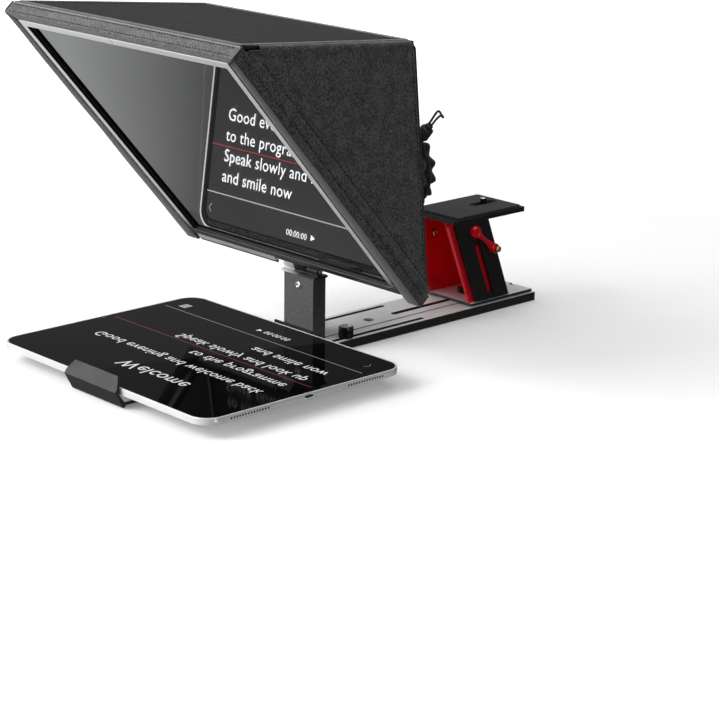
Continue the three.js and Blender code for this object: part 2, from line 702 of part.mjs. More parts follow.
function addTablet(parent) {
  const middleY = TABLET_FRONT_Y + TABLET_DEPTH / 2;
  const top = TABLET_BOTTOM_Z + TABLET_THICK;
  const halfX = TABLET_WIDTH / 2;
  const halfY = TABLET_DEPTH / 2;
  const plan = (inset) => roundedRectangle(halfX - inset, halfY - inset, TABLET_CORNER - inset);
  const place = (geometry) => geometry.translate(0, middleY, 0);
  const buttonRoom = (x, y) => block(x, y, [TABLET_BOTTOM_Z + 1.9, TABLET_BOTTOM_Z + 4.1]);
  const backEdge = TABLET_FRONT_Y + TABLET_DEPTH;
  const backRoom = [backEdge - 3, backEdge + 1];
  const buttons = {
    power_button: [[-halfX - 1, -halfX + 3], [middleY + 70, middleY + 82]],
    volume_up_button: [[-halfX + 24, -halfX + 38], backRoom],
    volume_down_button: [[-halfX + 42, -halfX + 56], backRoom],
  };

  const portY = [middleY - PORT_LENGTH / 2, middleY + PORT_LENGTH / 2];
  const portZ = [TABLET_BOTTOM_Z + PORT_RISE, TABLET_BOTTOM_Z + PORT_RISE + PORT_HEIGHT];
  const shell = cut(
    place(prismZ(plan(0), [TABLET_BOTTOM_Z, top])),
    place(prismZ(plan(TABLET_WALL), [TABLET_BOTTOM_Z + 1, top + 1])),
    ...Object.values(buttons).map(([x, y]) => buttonRoom(x, y)),
    block([halfX - PORT_DEPTH, halfX + 1], portY, portZ),
  );
  addPart(parent, 'tablet_case', shell, finish('#c9cacc', 0.3, 0.9));

  const glass = place(prismZ(plan(TABLET_WALL + 0.15), [top - TABLET_GLASS, top - 0.05]));
  addPart(parent, 'tablet_screen_glass', glass, finish('#050506', 0.05, 0));
  const displayPlan = roundedRectangle(halfX - DISPLAY_INSET, halfY - DISPLAY_INSET, 12);
  const display = place(prismZ(displayPlan, [top - 1.8, top - TABLET_GLASS - 0.05]));
  addPart(parent, 'tablet_display_panel', display, finish('#0b0b0c', 0.2, 0));
  const floorZ = TABLET_BOTTOM_Z + 1.1;
  const packY = [middleY - 88, middleY + 60];
  const battery = block([-BATTERY_HALF, BATTERY_HALF], packY, [floorZ, top - 2]);
  addPart(parent, 'tablet_battery', battery, finish('#2b2c30', 0.6, 0.1));
  const board = block([BATTERY_HALF + 6, BATTERY_HALF + 6 + BOARD_WIDTH], packY, [floorZ, floorZ + 1.5]);
  addPart(parent, 'tablet_logic_board', board, finish('#14532d', 0.6, 0.1));

  for (const [name, [x, y]] of Object.entries(buttons)) {
    const alongX = name !== 'power_button';
    const grow = (pair, amount) => [pair[0] + amount, pair[1] - amount];
    const keyX = alongX ? grow(x, 0.3) : [-halfX - 0.5, -halfX + 1.9];
    const keyY = alongX ? [backEdge - 1.9, backEdge + 0.5] : grow(y, 0.3);
    const key = block(keyX, keyY, [TABLET_BOTTOM_Z + 2.2, TABLET_BOTTOM_Z + 3.8]);
    addPart(parent, `tablet_${name}`, key, finish('#c4c5c7', 0.3, 0.9));
  }
}

// ---------- camera riser ----------

function addSlide(parent) {
  const plate = cut(
    block([-SLIDE_HALF_WIDTH, SLIDE_HALF_WIDTH], [RISER_FRONT_Y, RISER_BACK_Y], [SLIDE_Z, TOWER_Z - 0.05]),
    rod(2.6, 20, 'z', [0, SLIDE_NUT_Y, 10]),
    rod(3, 20, 'z', [8, RAIL_BACK_Y - 5, 10]),
  );
  addPart(parent, 'riser_slide_plate', plate, finish('#a6a8aa', 0.38, 0.8));
  const nut = cut(
    block([-6.9, 6.9], [SLIDE_NUT_Y - 10, SLIDE_NUT_Y + 10], [0.8, NUT_POCKET_ROOF_Z - 0.2]),
    rod(2.2, 20, 'z', [0, SLIDE_NUT_Y, 4]),
  );
  addPart(parent, 'riser_slide_nut', nut, steel());
}

function addSlideLock(parent) {
  const lock = join(
    knurledHead(8, 6).translate(0, SLIDE_NUT_Y, TOWER_Z + GAP),
    rod(1.9, 12, 'z', [0, SLIDE_NUT_Y, 7.2], 16),
  );
  addPart(parent, 'riser_lock_screw', lock, finish('#2a2b2d', 0.3, 0.8));
}

function towerPlan() {
  const half = TOWER_HALF_WIDTH;
  const wall = TOWER_WALL;
  const inner = half - wall;
  const fillet = 4;
  const shape = new THREE.Shape();
  shape.moveTo(-half, 0);
  shape.lineTo(-inner, 0);
  shape.lineTo(-inner, TOWER_DEPTH - wall - fillet);
  shape.absarc(-inner + fillet, TOWER_DEPTH - wall - fillet, fillet, Math.PI, Math.PI / 2, true);
  shape.absarc(inner - fillet, TOWER_DEPTH - wall - fillet, fillet, Math.PI / 2, 0, true);
  shape.lineTo(inner, 0);
  shape.lineTo(half, 0);
  shape.lineTo(half, TOWER_DEPTH);
  shape.lineTo(-half, TOWER_DEPTH);
  return shape;
}

function clampPoint(z) {
  return CHEEK_FRONT_Y + CHEEK_DEPTH * 0.49 + leanAt(z, CHEEK_BOTTOM_Z);
}

function addTower(parent) {
  const holes = [];
  for (const z of [CLAMP_Z, GUIDE_PIN_Z]) {
    holes.push(rod(2.4, 80, 'x', [0, clampPoint(z), z]));
  }
  const tower = cut(
    leanFrom(prismZ(towerPlan(), [TOWER_Z, TOWER_TOP_Z]).translate(0, TOWER_FRONT_Y, 0), TOWER_Z),
    ...holes,
  );
  addPart(parent, 'riser_tower', tower, redAnodised());

  for (const [name, side] of [['guide_pin_left', -1], ['guide_pin_right', 1]]) {
    const y = clampPoint(GUIDE_PIN_Z);
    const pin = join(
      rod(2.2, 8.6, 'x', [side * 26.4, y, GUIDE_PIN_Z], 16),
      rod(3.8, 1.6, 'x', [side * (TOWER_HALF_WIDTH - TOWER_WALL - 1), y, GUIDE_PIN_Z], 20),
    );
    addPart(parent, name, pin, brass());
  }

  const leftY = clampPoint(CLAMP_Z);
  const leftScrew = join(
    rod(2.2, 9.6, 'x', [-28.2, leftY, CLAMP_Z], 16),
    rod(5.2, 2, 'x', [-(CHEEK_OUTER_X + 1.3), leftY, CLAMP_Z], 20),
  );
  addPart(parent, 'clamp_screw_left', leftScrew, redAnodised());
}

function addClampLever(parent) {
  const y = clampPoint(CLAMP_Z);
  const drop = THREE.MathUtils.degToRad(LEVER_DROP_DEG);
  const hubX = CHEEK_OUTER_X + GAP;
  const arm = prismX(
    shapeOf([[0, -3.6], [LEVER_LENGTH, -2.6], [LEVER_LENGTH, 2.6], [0, 3.6]]),
    [hubX + 2.5, hubX + 6.5],
  );
  arm.rotateX(-drop);
  arm.translate(0, y, CLAMP_Z);
  const tipY = y + LEVER_LENGTH * Math.cos(drop);
  const tipZ = CLAMP_Z - LEVER_LENGTH * Math.sin(drop);
  const lever = cut(
    join(
      rod(5.6, 7, 'x', [hubX + 3.5, y, CLAMP_Z]),
      arm,
      rod(4.6, 6, 'x', [hubX + 5, tipY, tipZ]),
      rod(2.2, 12, 'x', [hubX - 3, y, CLAMP_Z], 16),
    ),
    rod(2.1, 20, 'x', [hubX + 5, tipY, tipZ], 16),
  );
  addPart(parent, 'clamp_lever', lever, redAnodised());
  const screw = join(
    rod(1.9, 6.6, 'x', [hubX + 5.2, tipY, tipZ], 16),
    rod(3, 1.2, 'x', [hubX + 8.7, tipY, tipZ], 16),
  );
  addPart(parent, 'clamp_lever_screw', screw, brass());
}

function addPlatform(parent) {
  const outer = CHEEK_OUTER_X;
  const inner = CHEEK_OUTER_X - CHEEK_WALL;
  const top = PLATFORM_UNDER_Z + PLATFORM_THICK;
  const pieces = [];
  for (const side of [-1, 1]) {
    const xs = [side * inner, side * outer].sort((a, b) => a - b);
    const ys = [CHEEK_FRONT_Y, CHEEK_FRONT_Y + CHEEK_DEPTH];
    const cheek = block(xs, ys, [CHEEK_BOTTOM_Z, PLATFORM_UNDER_Z + 1]);
    pieces.push(leanFrom(cheek, CHEEK_BOTTOM_Z));
  }
  const deck = prismZ(roundedRectangle(outer, PLATFORM_LENGTH / 2, 3), [PLATFORM_UNDER_Z, top]);
  pieces.push(deck.translate(0, PLATFORM_FRONT_Y + PLATFORM_LENGTH / 2, 0));

  const slotHalf = RISER_SLOT_WIDTH / 2;
  const slotMiddle = CHEEK_FRONT_Y + CHEEK_DEPTH * 0.49;
  const slot = leanFrom(
    block([-40, 40], [slotMiddle - slotHalf, slotMiddle + slotHalf], [SLOT_BOTTOM_Z, SLOT_TOP_Z]),
    CHEEK_BOTTOM_Z,
  );
  const travel = [CAMERA_SCREW_Y - CAMERA_SLOT_TRAVEL - 3.6, CAMERA_SCREW_Y + CAMERA_SLOT_TRAVEL + 3.6];
  const screwSlot = slotAlongY(0, travel, 7.2, [PLATFORM_UNDER_Z - 1, top + 1]);
  addPart(parent, 'camera_platform', cut(join(...pieces), slot, screwSlot), blackSatin());

  const pad = cut(
    prismZ(roundedRectangle(outer - 3, PLATFORM_LENGTH / 2 - 4, 2), [top + 0.05, top + PLATFORM_PAD])
      .translate(0, PLATFORM_FRONT_Y + PLATFORM_LENGTH / 2, 0),
    slotAlongY(0, [travel[0] - 1, travel[1] + 1], 9, [top - 1, top + 5]),
  );
  addPart(parent, 'platform_grip_pad', pad, rubber());
}

function addCameraScrew(parent) {
  const carrier = cut(
    prismZ(roundedRectangle(9, 7, 2), [PLATFORM_UNDER_Z - 2.3, PLATFORM_UNDER_Z - 0.3])
      .translate(0, CAMERA_SCREW_Y, 0),
    rod(3.35, 20, 'z', [0, CAMERA_SCREW_Y, PLATFORM_UNDER_Z]),
  );
  addPart(parent, 'camera_screw_carrier', carrier, steel());
  const screw = join(
    knurledHead(8.5, 5).translate(0, CAMERA_SCREW_Y, PLATFORM_UNDER_Z - 2.6 - 5),
    rod(3.1, 16, 'z', [0, CAMERA_SCREW_Y, PLATFORM_UNDER_Z + 3.2], 20),
  );
  addPart(parent, 'camera_screw', screw, steel());
}

// ---------- assembly ----------

addRail(teleprompter);
addColumn(teleprompter);
addHingeBase(teleprompter);
addFrame(teleprompter);
addHood(teleprompter);
addArm(teleprompter);
addThumbScrews(teleprompter);
addTablet(teleprompter);
addSlide(teleprompter);
addSlideLock(teleprompter);
addTower(teleprompter);
addClampLever(teleprompter);
addPlatform(teleprompter);
addCameraScrew(teleprompter);

export default teleprompter;
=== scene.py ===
"""Looks of a tablet teleprompter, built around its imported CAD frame. Metres, +Z up."""

import json
import math

import bmesh
import bpy
from mathutils import Matrix, Vector, noise

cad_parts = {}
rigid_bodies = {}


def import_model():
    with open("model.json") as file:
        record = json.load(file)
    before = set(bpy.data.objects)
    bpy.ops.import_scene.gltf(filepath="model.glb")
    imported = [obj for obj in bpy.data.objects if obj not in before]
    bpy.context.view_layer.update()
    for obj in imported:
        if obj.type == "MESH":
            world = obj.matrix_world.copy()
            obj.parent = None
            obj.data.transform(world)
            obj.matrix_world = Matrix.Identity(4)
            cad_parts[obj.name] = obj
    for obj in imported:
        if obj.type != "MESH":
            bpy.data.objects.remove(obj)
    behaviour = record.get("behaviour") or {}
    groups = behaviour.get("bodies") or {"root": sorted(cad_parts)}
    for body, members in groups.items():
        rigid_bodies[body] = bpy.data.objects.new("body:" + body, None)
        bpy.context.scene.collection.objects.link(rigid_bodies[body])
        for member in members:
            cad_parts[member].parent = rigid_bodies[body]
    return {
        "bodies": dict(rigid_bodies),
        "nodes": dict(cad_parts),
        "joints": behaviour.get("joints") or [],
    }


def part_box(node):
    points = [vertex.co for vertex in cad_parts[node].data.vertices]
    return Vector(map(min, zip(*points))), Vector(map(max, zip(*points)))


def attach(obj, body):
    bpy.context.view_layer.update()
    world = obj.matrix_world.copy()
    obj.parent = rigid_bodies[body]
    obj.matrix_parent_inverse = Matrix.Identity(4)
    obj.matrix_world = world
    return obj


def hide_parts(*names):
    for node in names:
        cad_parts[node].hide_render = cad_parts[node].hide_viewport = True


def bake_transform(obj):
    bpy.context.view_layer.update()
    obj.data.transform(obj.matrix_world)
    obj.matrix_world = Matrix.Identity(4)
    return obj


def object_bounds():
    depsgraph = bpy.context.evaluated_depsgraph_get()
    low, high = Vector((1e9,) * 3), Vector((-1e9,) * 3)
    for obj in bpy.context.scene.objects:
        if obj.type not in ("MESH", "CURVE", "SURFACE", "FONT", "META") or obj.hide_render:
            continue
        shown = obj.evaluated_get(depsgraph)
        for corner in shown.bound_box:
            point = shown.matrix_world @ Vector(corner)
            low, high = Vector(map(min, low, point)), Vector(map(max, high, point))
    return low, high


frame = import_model()
CAD_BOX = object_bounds()

MM = 0.001
X_AXIS = Vector((1, 0, 0))
Y_AXIS = Vector((0, 1, 0))
Z_AXIS = Vector((0, 0, 1))
JOINTS = {joint["name"]: joint for joint in frame["joints"]}

# ---------- finishes ----------

WHITE = (1.0, 1.0, 1.0)
BLACK = (0.0, 0.0, 0.0)
CASE_LOW, CASE_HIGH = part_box("tablet_case")
# Edge of the painted reflection on the tablet's cover glass.
PAINTED_REFLECTION_SLANT = 0.36
PAINTED_REFLECTION_START = 7 * MM + PAINTED_REFLECTION_SLANT * 224 * MM


class Finish:
    """A node material that is put together step by step."""

    def __init__(self, name, color, roughness, metallic=0.0):
        self.material = bpy.data.materials.new(name)
        self.material.use_nodes = True
        self.material.diffuse_color = (*color, 1)
        self.tree = self.material.node_tree
        self.surface = self.tree.nodes["Principled BSDF"]
        self.normal = None
        self.place = self.node("ShaderNodeTexCoord").outputs["Object"]
        self.set("Base Color", color)
        self.set("Roughness", roughness)
        self.set("Metallic", metallic)

    def node(self, kind, inputs=None, **settings):
        made = self.tree.nodes.new(kind)
        for key, value in settings.items():
            setattr(made, key, value)
        for key, value in (inputs or {}).items():
            self.feed(made.inputs[key], value)
        return made

    def feed(self, socket, value):
        if isinstance(value, bpy.types.NodeSocket):
            self.tree.links.new(value, socket)
        elif isinstance(value, tuple) and len(value) == 3 and socket.type == "RGBA":
            socket.default_value = (*value, 1)
        else:
            socket.default_value = value

    def set(self, name, value):
        self.feed(self.surface.inputs[name], value)

    def along(self, axis, source=None):
        """One coordinate of a place or of a direction."""
        return self.node("ShaderNodeSeparateXYZ", {0: source or self.place}).outputs[axis]

    def facing(self, axis):
        """One coordinate of the surface's direction."""
        return self.along(axis, self.node("ShaderNodeNewGeometry").outputs["Normal"])

    def shine(self, color, strength):
        self.set("Emission Color", color)
        self.set("Emission Strength", strength)

    def grain(self, scale, detail=2.0, stretch=(1, 1, 1)):
        """Noise in object space. Scale is the number of grains in a metre."""
        placed = self.node("ShaderNodeMapping", {"Vector": self.place, "Scale": stretch})
        inputs = {"Vector": placed.outputs[0], "Scale": scale, "Detail": detail}
        return self.node("ShaderNodeTexNoise", inputs).outputs["Fac"]

    def bands(self, period, direction):
        """Even ridges across one axis, one in each period."""
        scale = 2 * math.pi / (20 * period)
        inputs = {"Vector": self.place, "Scale": scale, "Distortion": 1.2, "Detail": 1.0}
        settings = {"wave_type": "BANDS", "bands_direction": direction}
        return self.node("ShaderNodeTexWave", inputs, **settings).outputs["Fac"]

    def spread(self, value, low, high, to_low=0.0, to_high=1.0):
        inputs = {"Value": value, "From Min": low, "From Max": high, "To Min": to_low, "To Max": to_high}
        return self.node("ShaderNodeMapRange", inputs).outputs[0]

    def math(self, operation, a, b):
        made = self.node("ShaderNodeMath", operation=operation)
        self.feed(made.inputs[0], a)
        self.feed(made.inputs[1], b)
        return made.outputs[0]

    def mix(self, share, a, b):
        made = self.node("ShaderNodeMix", data_type="RGBA")
        self.feed(made.inputs["Factor"], share)
        self.feed(made.inputs[6], a)
        self.feed(made.inputs[7], b)
        return made.outputs[2]

    def bump(self, height, depth, strength=1.0):
        made = self.node("ShaderNodeBump", {"Height": height, "Distance": depth, "Strength": strength})
        if self.normal:
            self.feed(made.inputs["Normal"], self.normal)
        self.normal = made.outputs[0]
        self.set("Normal", self.normal)

    def edges(self, radius):
        """1 along sharp edges and 0 on open faces."""
        soft = self.node("ShaderNodeBevel", {"Radius": radius}, samples=4).outputs[0]
        true = self.node("ShaderNodeNewGeometry").outputs["Normal"]
        facing = self.node("ShaderNodeVectorMath", {0: soft, 1: true}, operation="DOT_PRODUCT")
        return self.spread(facing.outputs["Value"], 0.99, 0.82)

    def wear(self, base, worn, radius=0.5 * MM, amount=0.6):
        """Rubs the edges to another colour, in patches."""
        patches = self.spread(self.grain(140, 3), 0.42, 0.62)
        share = self.math("MULTIPLY", self.math("MULTIPLY", self.edges(radius), patches), amount)
        self.set("Base Color", self.mix(share, base, worn))


def scaled(color, share):
    return tuple(min(1, c * share) for c in color)


def metal(name, color, roughness, worn, metallic=0.9, wear=0.5, speckle=1.25, grains=45):
    """Bead-blasted and anodised metal, a little rubbed along its edges."""
    made = Finish(name, color, roughness, metallic)
    cloudy = made.grain(grains, 2)
    tinted = made.mix(made.spread(cloudy, 0.3, 0.7), color, scaled(color, speckle))
    made.wear(tinted, worn, amount=wear)
    made.set("Roughness", made.spread(cloudy, 0.3, 0.7, roughness * 0.85, roughness * 1.2))
    made.bump(made.grain(5200, 1), 0.012 * MM, 0.5)
    return made


def turned(name, color, roughness, worn):
    """Machined metal with fine tool marks."""
    made = Finish(name, color, roughness, 1.0)
    marks = made.grain(900, 2, (1, 1, 5))
    made.wear(made.mix(made.spread(marks, 0.3, 0.7), color, scaled(color, 0.72)), worn)
    made.set("Roughness", made.spread(marks, 0.3, 0.7, roughness, roughness * 1.7))
    made.bump(marks, 0.02 * MM, 0.4)
    return made


def rail_metal(name):
    """Black extrusion with a painted reflection: its upward faces are painted bright, with the grinding
    lines along the rail.
    """
    bright, dark = (0.88, 0.885, 0.89), (0.012, 0.012, 0.013)
    made = Finish(name, bright, 0.36, 0.35)
    lines = made.grain(1500, 3, (1, 0.03, 1))
    # Painted reflection: upward faces take the bright colour while the sides stay black.
    top = made.spread(made.facing("Z"), 0.82, 0.93)
    streaked_painted_reflection = made.mix(made.spread(lines, 0.3, 0.7), bright, scaled(bright, 0.8))
    made.wear(made.mix(top, dark, streaked_painted_reflection), (0.62, 0.62, 0.63), amount=0.35)
    made.set("Metallic", made.math("MULTIPLY", top, 0.1))
    made.set("Roughness", made.spread(lines, 0.3, 0.7, 0.3, 0.46))
    made.bump(lines, 0.02 * MM, 0.35)
    return made


def leaf_metal(name):
    """Satin hinge leaf with a painted reflection: bright at its left end and fading to black along the pin.
    """
    made = Finish(name, (0.02, 0.02, 0.02), 0.35, 0.2)
    # Painted reflection: the colour fades from bright at the left end to black along the pin.
    painted_reflection_fade = made.spread(made.along("X"), 2 * MM, -21 * MM)
    satin = made.mix(painted_reflection_fade, (0.016, 0.016, 0.017), (0.55, 0.55, 0.56))
    made.wear(satin, (0.3, 0.3, 0.3), amount=0.3)
    cloudy = made.grain(80, 2)
    made.set("Roughness", made.spread(cloudy, 0.3, 0.7, 0.3, 0.42))
    made.bump(made.grain(4200, 1), 0.012 * MM, 0.4)
    return made


def frame_metal(name):
    """Satin black frame: its chamfers are painted bright, partly the milled edge and partly a painted rim
    highlight, and its front face above the lower bar has a painted highlight.
    """
    dark, bright = (0.014, 0.014, 0.015), (0.52, 0.525, 0.53)
    made = Finish(name, dark, 0.3, 0.9)
    # Painted highlight: front faces above the lower bar take a bright, mostly diffuse colour.
    front = made.spread(made.facing("Y"), -0.6, -0.72)
    above = made.spread(made.along("Z"), 84 * MM, 100 * MM)
    satin = made.mix(made.math("MULTIPLY", front, above), dark, bright)
    # Chamfers: bright colour, partly the milled edge and partly a painted rim highlight.
    milled_chamfer_and_highlight = made.math("MULTIPLY", made.edges(0.8 * MM), 0.85)
    made.set("Base Color", made.mix(milled_chamfer_and_highlight, satin, (0.62, 0.62, 0.63)))
    made.set("Metallic", made.spread(front, 0, 1, 0.9, 0.15))
    cloudy = made.grain(60, 2)
    made.set("Roughness", made.spread(cloudy, 0.3, 0.7, 0.26, 0.38))
    made.bump(made.grain(5200, 1), 0.012 * MM, 0.5)
    return made


def cloth(name, dark, light, grains=620, sheen=0.25, weave=0.85 * MM):
    """Heathered cloth: two yarn colours, a plain weave and loose fibres that catch the light."""
    made = Finish(name, dark, 0.9)
    fine = made.grain(grains, 3)
    broad = made.grain(grains / 7, 2)
    yarn = made.math("ADD", made.math("MULTIPLY", fine, 0.78), made.math("MULTIPLY", broad, 0.22))
    made.set("Base Color", made.mix(made.spread(yarn, 0.41, 0.62), dark, light))
    made.set("Roughness", made.spread(fine, 0.3, 0.7, 0.82, 1.0))
    made.set("Sheen Weight", sheen)
    made.set("Sheen Roughness", 0.45)
    made.set("Specular IOR Level", 0.25)
    threads = made.math("ADD", made.bands(weave, "X"), made.bands(weave, "Y"))
    threads = made.math("ADD", threads, made.bands(weave, "Z"))
    made.bump(threads, 0.08 * MM, 0.5)
    made.bump(fine, 0.25 * MM, 0.55)
    return made


def plastic(name, color, roughness=0.5):
    """Moulded plastic with a fine spark-eroded texture."""
    made = Finish(name, color, roughness)
    texture = made.grain(2600, 2)
    mottled = made.mix(made.spread(texture, 0.35, 0.65), color, scaled(color, 1.3))
    made.wear(mottled, (0.12, 0.12, 0.12))
    made.set("Roughness", made.spread(texture, 0.3, 0.7, roughness * 0.8, roughness * 1.2))
    made.bump(texture, 0.03 * MM, 0.5)
    return made


def rubber(name, color):
    """Ribbed rubber with patches of dust."""
    made = Finish(name, color, 0.8)
    dust = made.spread(made.grain(180, 4), 0.45, 0.75)
    made.set("Base Color", made.mix(dust, color, scaled(color, 2.2)))
    made.set("Roughness", made.spread(dust, 0, 1, 0.7, 0.95))
    made.bump(made.bands(1.6 * MM, "X"), 0.2 * MM, 0.6)
    made.bump(made.grain(2200, 2), 0.05 * MM, 0.4)
    return made


def mirror_glass(name):
    """Coated glass that mirrors about a quarter of the light and lets a little through."""
    tint = (0.235, 0.24, 0.245)
    made = Finish(name, tint, 0.02, 1.0)
    haze = made.grain(9, 3)
    made.set("Base Color", made.mix(made.spread(haze, 0.3, 0.7), tint, scaled(tint, 1.12)))
    made.set("Roughness", made.spread(haze, 0.35, 0.75, 0.008, 0.03))
    made.set("Alpha", 0.88)
    return made


def screen_glass(name):
    """Black cover glass with a painted reflection, a lighter tone over its left half that grows towards the
    back, and a trace of finger marks.
    """
    black, grey = (0.002, 0.002, 0.002), (0.013, 0.013, 0.014)
    made = Finish(name, black, 0.05)
    # Painted reflection: lighter grey left of a slanted edge, stronger towards the back.
    x, y = made.along("X"), made.along("Y")
    slant = made.math("MULTIPLY", y, -PAINTED_REFLECTION_SLANT)
    across = made.math("SUBTRACT", made.math("ADD", x, slant), PAINTED_REFLECTION_START)
    sheen = made.spread(across, 3 * MM, -2 * MM)
    depth = made.spread(y, CASE_LOW.y, CASE_HIGH.y, 0.25, 1.0)
    made.set("Base Color", made.mix(made.math("MULTIPLY", sheen, depth), black, grey))
    marks = made.spread(made.grain(34, 4), 0.5, 0.72)
    made.set("Roughness", made.spread(marks, 0, 1, 0.04, 0.12))
    made.set("IOR", 1.08)
    made.bump(made.grain(3, 1), 0.05 * MM, 0.2)
    return made


def glowing(name, color, strength):
    """Lit screen pixels."""
    made = Finish(name, (0.01, 0.01, 0.01), 0.3)
    grid = made.spread(made.grain(3800, 1), 0.3, 0.7, 0.92, 1.0)
    made.shine(color, made.math("MULTIPLY", grid, strength))
    return made


def build_finishes():
    column = (0.047, 0.0475, 0.0485)
    tape = (0.006, 0.006, 0.0065), (0.028, 0.028, 0.03)
    thread = (0.002, 0.002, 0.002), (0.008, 0.008, 0.008)
    return {
        "rail": rail_metal("rail_metal_painted_top_reflection"),
        "steel": turned("turned_steel", (0.62, 0.63, 0.64), 0.2, (0.85, 0.85, 0.85)),
        "black": metal("black_anodised", (0.022, 0.022, 0.024), 0.42, (0.25, 0.25, 0.26)),
        "leaf": leaf_metal("hinge_leaf_painted_reflection"),
        "column": metal("column_anodised", column, 0.5, (0.2, 0.2, 0.21), 0.35, 0.3, 1.9, 700),
        "platform": metal("platform_anodised", (0.012, 0.0125, 0.0125), 0.46, (0.12, 0.12, 0.12), 0.5),
        "lip": metal("lip_satin_metal", (0.028, 0.028, 0.03), 0.36, (0.3, 0.3, 0.3), 0.4),
        "milled": turned("milled_aluminium", (0.44, 0.45, 0.46), 0.3, (0.7, 0.7, 0.7)),
        "frame": frame_metal("frame_satin_black_painted_highlight"),
        "trim": metal("frame_sill_strip", (0.42, 0.42, 0.425), 0.4, (0.75, 0.75, 0.75), 0.1),
        "knob": metal("knurled_black", (0.016, 0.016, 0.018), 0.24, (0.3, 0.3, 0.3), 0.8, 0.12),
        "knob_top": turned("knob_bright_face", (0.8, 0.8, 0.81), 0.16, (0.9, 0.9, 0.9)),
        "red": metal("red_anodised", (0.74, 0.006, 0.016), 0.22, (0.9, 0.2, 0.2), 0.4, 0.3, 1.06),
        "brass": turned("turned_brass", (0.78, 0.58, 0.27), 0.2, (0.95, 0.85, 0.6)),
        "tablet": metal("tablet_aluminium", (0.74, 0.745, 0.755), 0.34, (0.9, 0.9, 0.9), 0.35, 0.2, 1.06),
        "plastic": plastic("black_plastic", (0.02, 0.02, 0.021)),
        "battery": plastic("battery_wrap", (0.05, 0.05, 0.055), 0.4),
        "board": plastic("solder_mask", (0.02, 0.12, 0.05), 0.35),
        "rubber": rubber("ribbed_rubber", (0.022, 0.022, 0.022)),
        "hood": cloth("heathered_hood_cloth", (0.018, 0.0182, 0.0188), (0.098, 0.099, 0.101)),
        # Darker copy of the hood cloth: painted shade on the roof.
        "roof": cloth("roof_cloth_painted_shade", (0.006, 0.006, 0.0063), (0.024, 0.0242, 0.0246), 620, 0.02),
        # Lighter copy of the hood cloth: painted light on the collar's brim.
        "brim": cloth("brim_cloth_painted_light", (0.043, 0.0435, 0.045), (0.130, 0.131, 0.133)),
        "lining": cloth("black_lining", (0.006, 0.006, 0.0065), (0.016, 0.016, 0.017), 900, 0.1),
        "sleeve": cloth("sleeve_cloth", (0.008, 0.008, 0.0085), (0.030, 0.030, 0.032), 900, 0.35, 0.6 * MM),
        # Piping tape coloured mid-grey: a painted highlight along the roof's and collar's top edges.
        "piping": cloth("piping_tape_painted_highlight", (0.14, 0.14, 0.143), (0.32, 0.32, 0.325), 1400, 0.3, 0.5 * MM),
        "binding": cloth("edge_binding_tape", *tape, 1400, 0.3, 0.5 * MM),
        "thread": cloth("stitching_thread", *thread, 2400, 0.1, 0.4 * MM),
        "cord": cloth("braided_cord", (0.01, 0.01, 0.01), (0.06, 0.06, 0.06), 1500, 0.2, 0.7 * MM),
        "mirror": mirror_glass("beam_splitter_coating"),
        "screen": screen_glass("tablet_cover_glass_painted_reflection"),
        "text": glowing("screen_text_white", (0.95, 0.96, 1.0), 0.8),
        "line": glowing("screen_line_grey", (0.55, 0.56, 0.58), 0.4),
        "cue": glowing("screen_cue_red", (0.8, 0.02, 0.04), 0.26),
        # Near black: the port tongue's and camera lens's own colour, and painted shade in the speaker
        # holes.
        "dark": plastic("near_black_and_painted_hole_shade", (0.004, 0.004, 0.004), 0.7),
    }


FINISH = {name: made.material for name, made in build_finishes().items()}

# ---------- CAD nodes that stay ----------


def dress(node, finish, softness=0.35):
    """Gives a CAD node its finish and rounds its sharp edges by a fraction of a millimetre."""
    obj = frame["nodes"][node]
    obj.data.materials.clear()
    obj.data.materials.append(FINISH[finish])
    if "custom_normal" in obj.data.attributes:
        obj.data.attributes.remove(obj.data.attributes["custom_normal"])
    obj.data.polygons.foreach_set("use_smooth", [True] * len(obj.data.polygons))
    weld = obj.modifiers.new("weld", "WELD")
    weld.merge_threshold = 0.002 * MM
    flat = obj.modifiers.new("flat", "DECIMATE")
    flat.decimate_type = "DISSOLVE"
    flat.angle_limit = math.radians(0.6)
    bevel = obj.modifiers.new("bevel", "BEVEL")
    bevel.width = softness * MM
    bevel.segments = 2
    bevel.limit_method = "ANGLE"
    bevel.angle_limit = math.radians(32)
    shade = obj.modifiers.new("shade", "WEIGHTED_NORMAL")
    shade.keep_sharp = True


STAYING = {
    "rail": (["base_rail", "riser_slide_plate"], 0.35),
    "steel": (
        ["tripod_thread_bush", "column_base_screw_left", "column_base_screw_right", "hinge_pin",
         "riser_slide_nut", "camera_screw_carrier"],
        0.25,
    ),
    "black": (
        ["rail_stop_screw", "tablet_ledge", "hinge_leaf_upper",
         "frame_corner_clip_lower_left", "frame_corner_clip_lower_right",
         "frame_corner_clip_upper_left", "frame_corner_clip_upper_right"],
        0.25,
    ),
    "leaf": (["hinge_leaf_lower"], 0.3),
    "lip": (["tablet_arm"], 0.6),
    "column": (["column_tube"], 0.5),
    "platform": (["camera_platform"], 0.5),
    "milled": (["column_foot_block", "column_head_block"], 0.3),
    "frame": (["glass_frame"], 0.7),
    "rubber": (
        ["tablet_ledge_pad", "glass_gasket", "lip_pad", "arm_rest_pad", "platform_grip_pad"],
        0.25,
    ),
    "plastic": (["glass_retainer"], 0.25),
    "mirror": (["beam_splitter_glass"], 0.15),
    "tablet": (
        ["tablet_case", "tablet_power_button", "tablet_volume_up_button", "tablet_volume_down_button"],
        0.45,
    ),
    "screen": (["tablet_screen_glass", "tablet_display_panel"], 0.1),
    "battery": (["tablet_battery"], 0.4),
    "board": (["tablet_logic_board"], 0.2),
    "red": (["riser_tower"], 0.4),
}
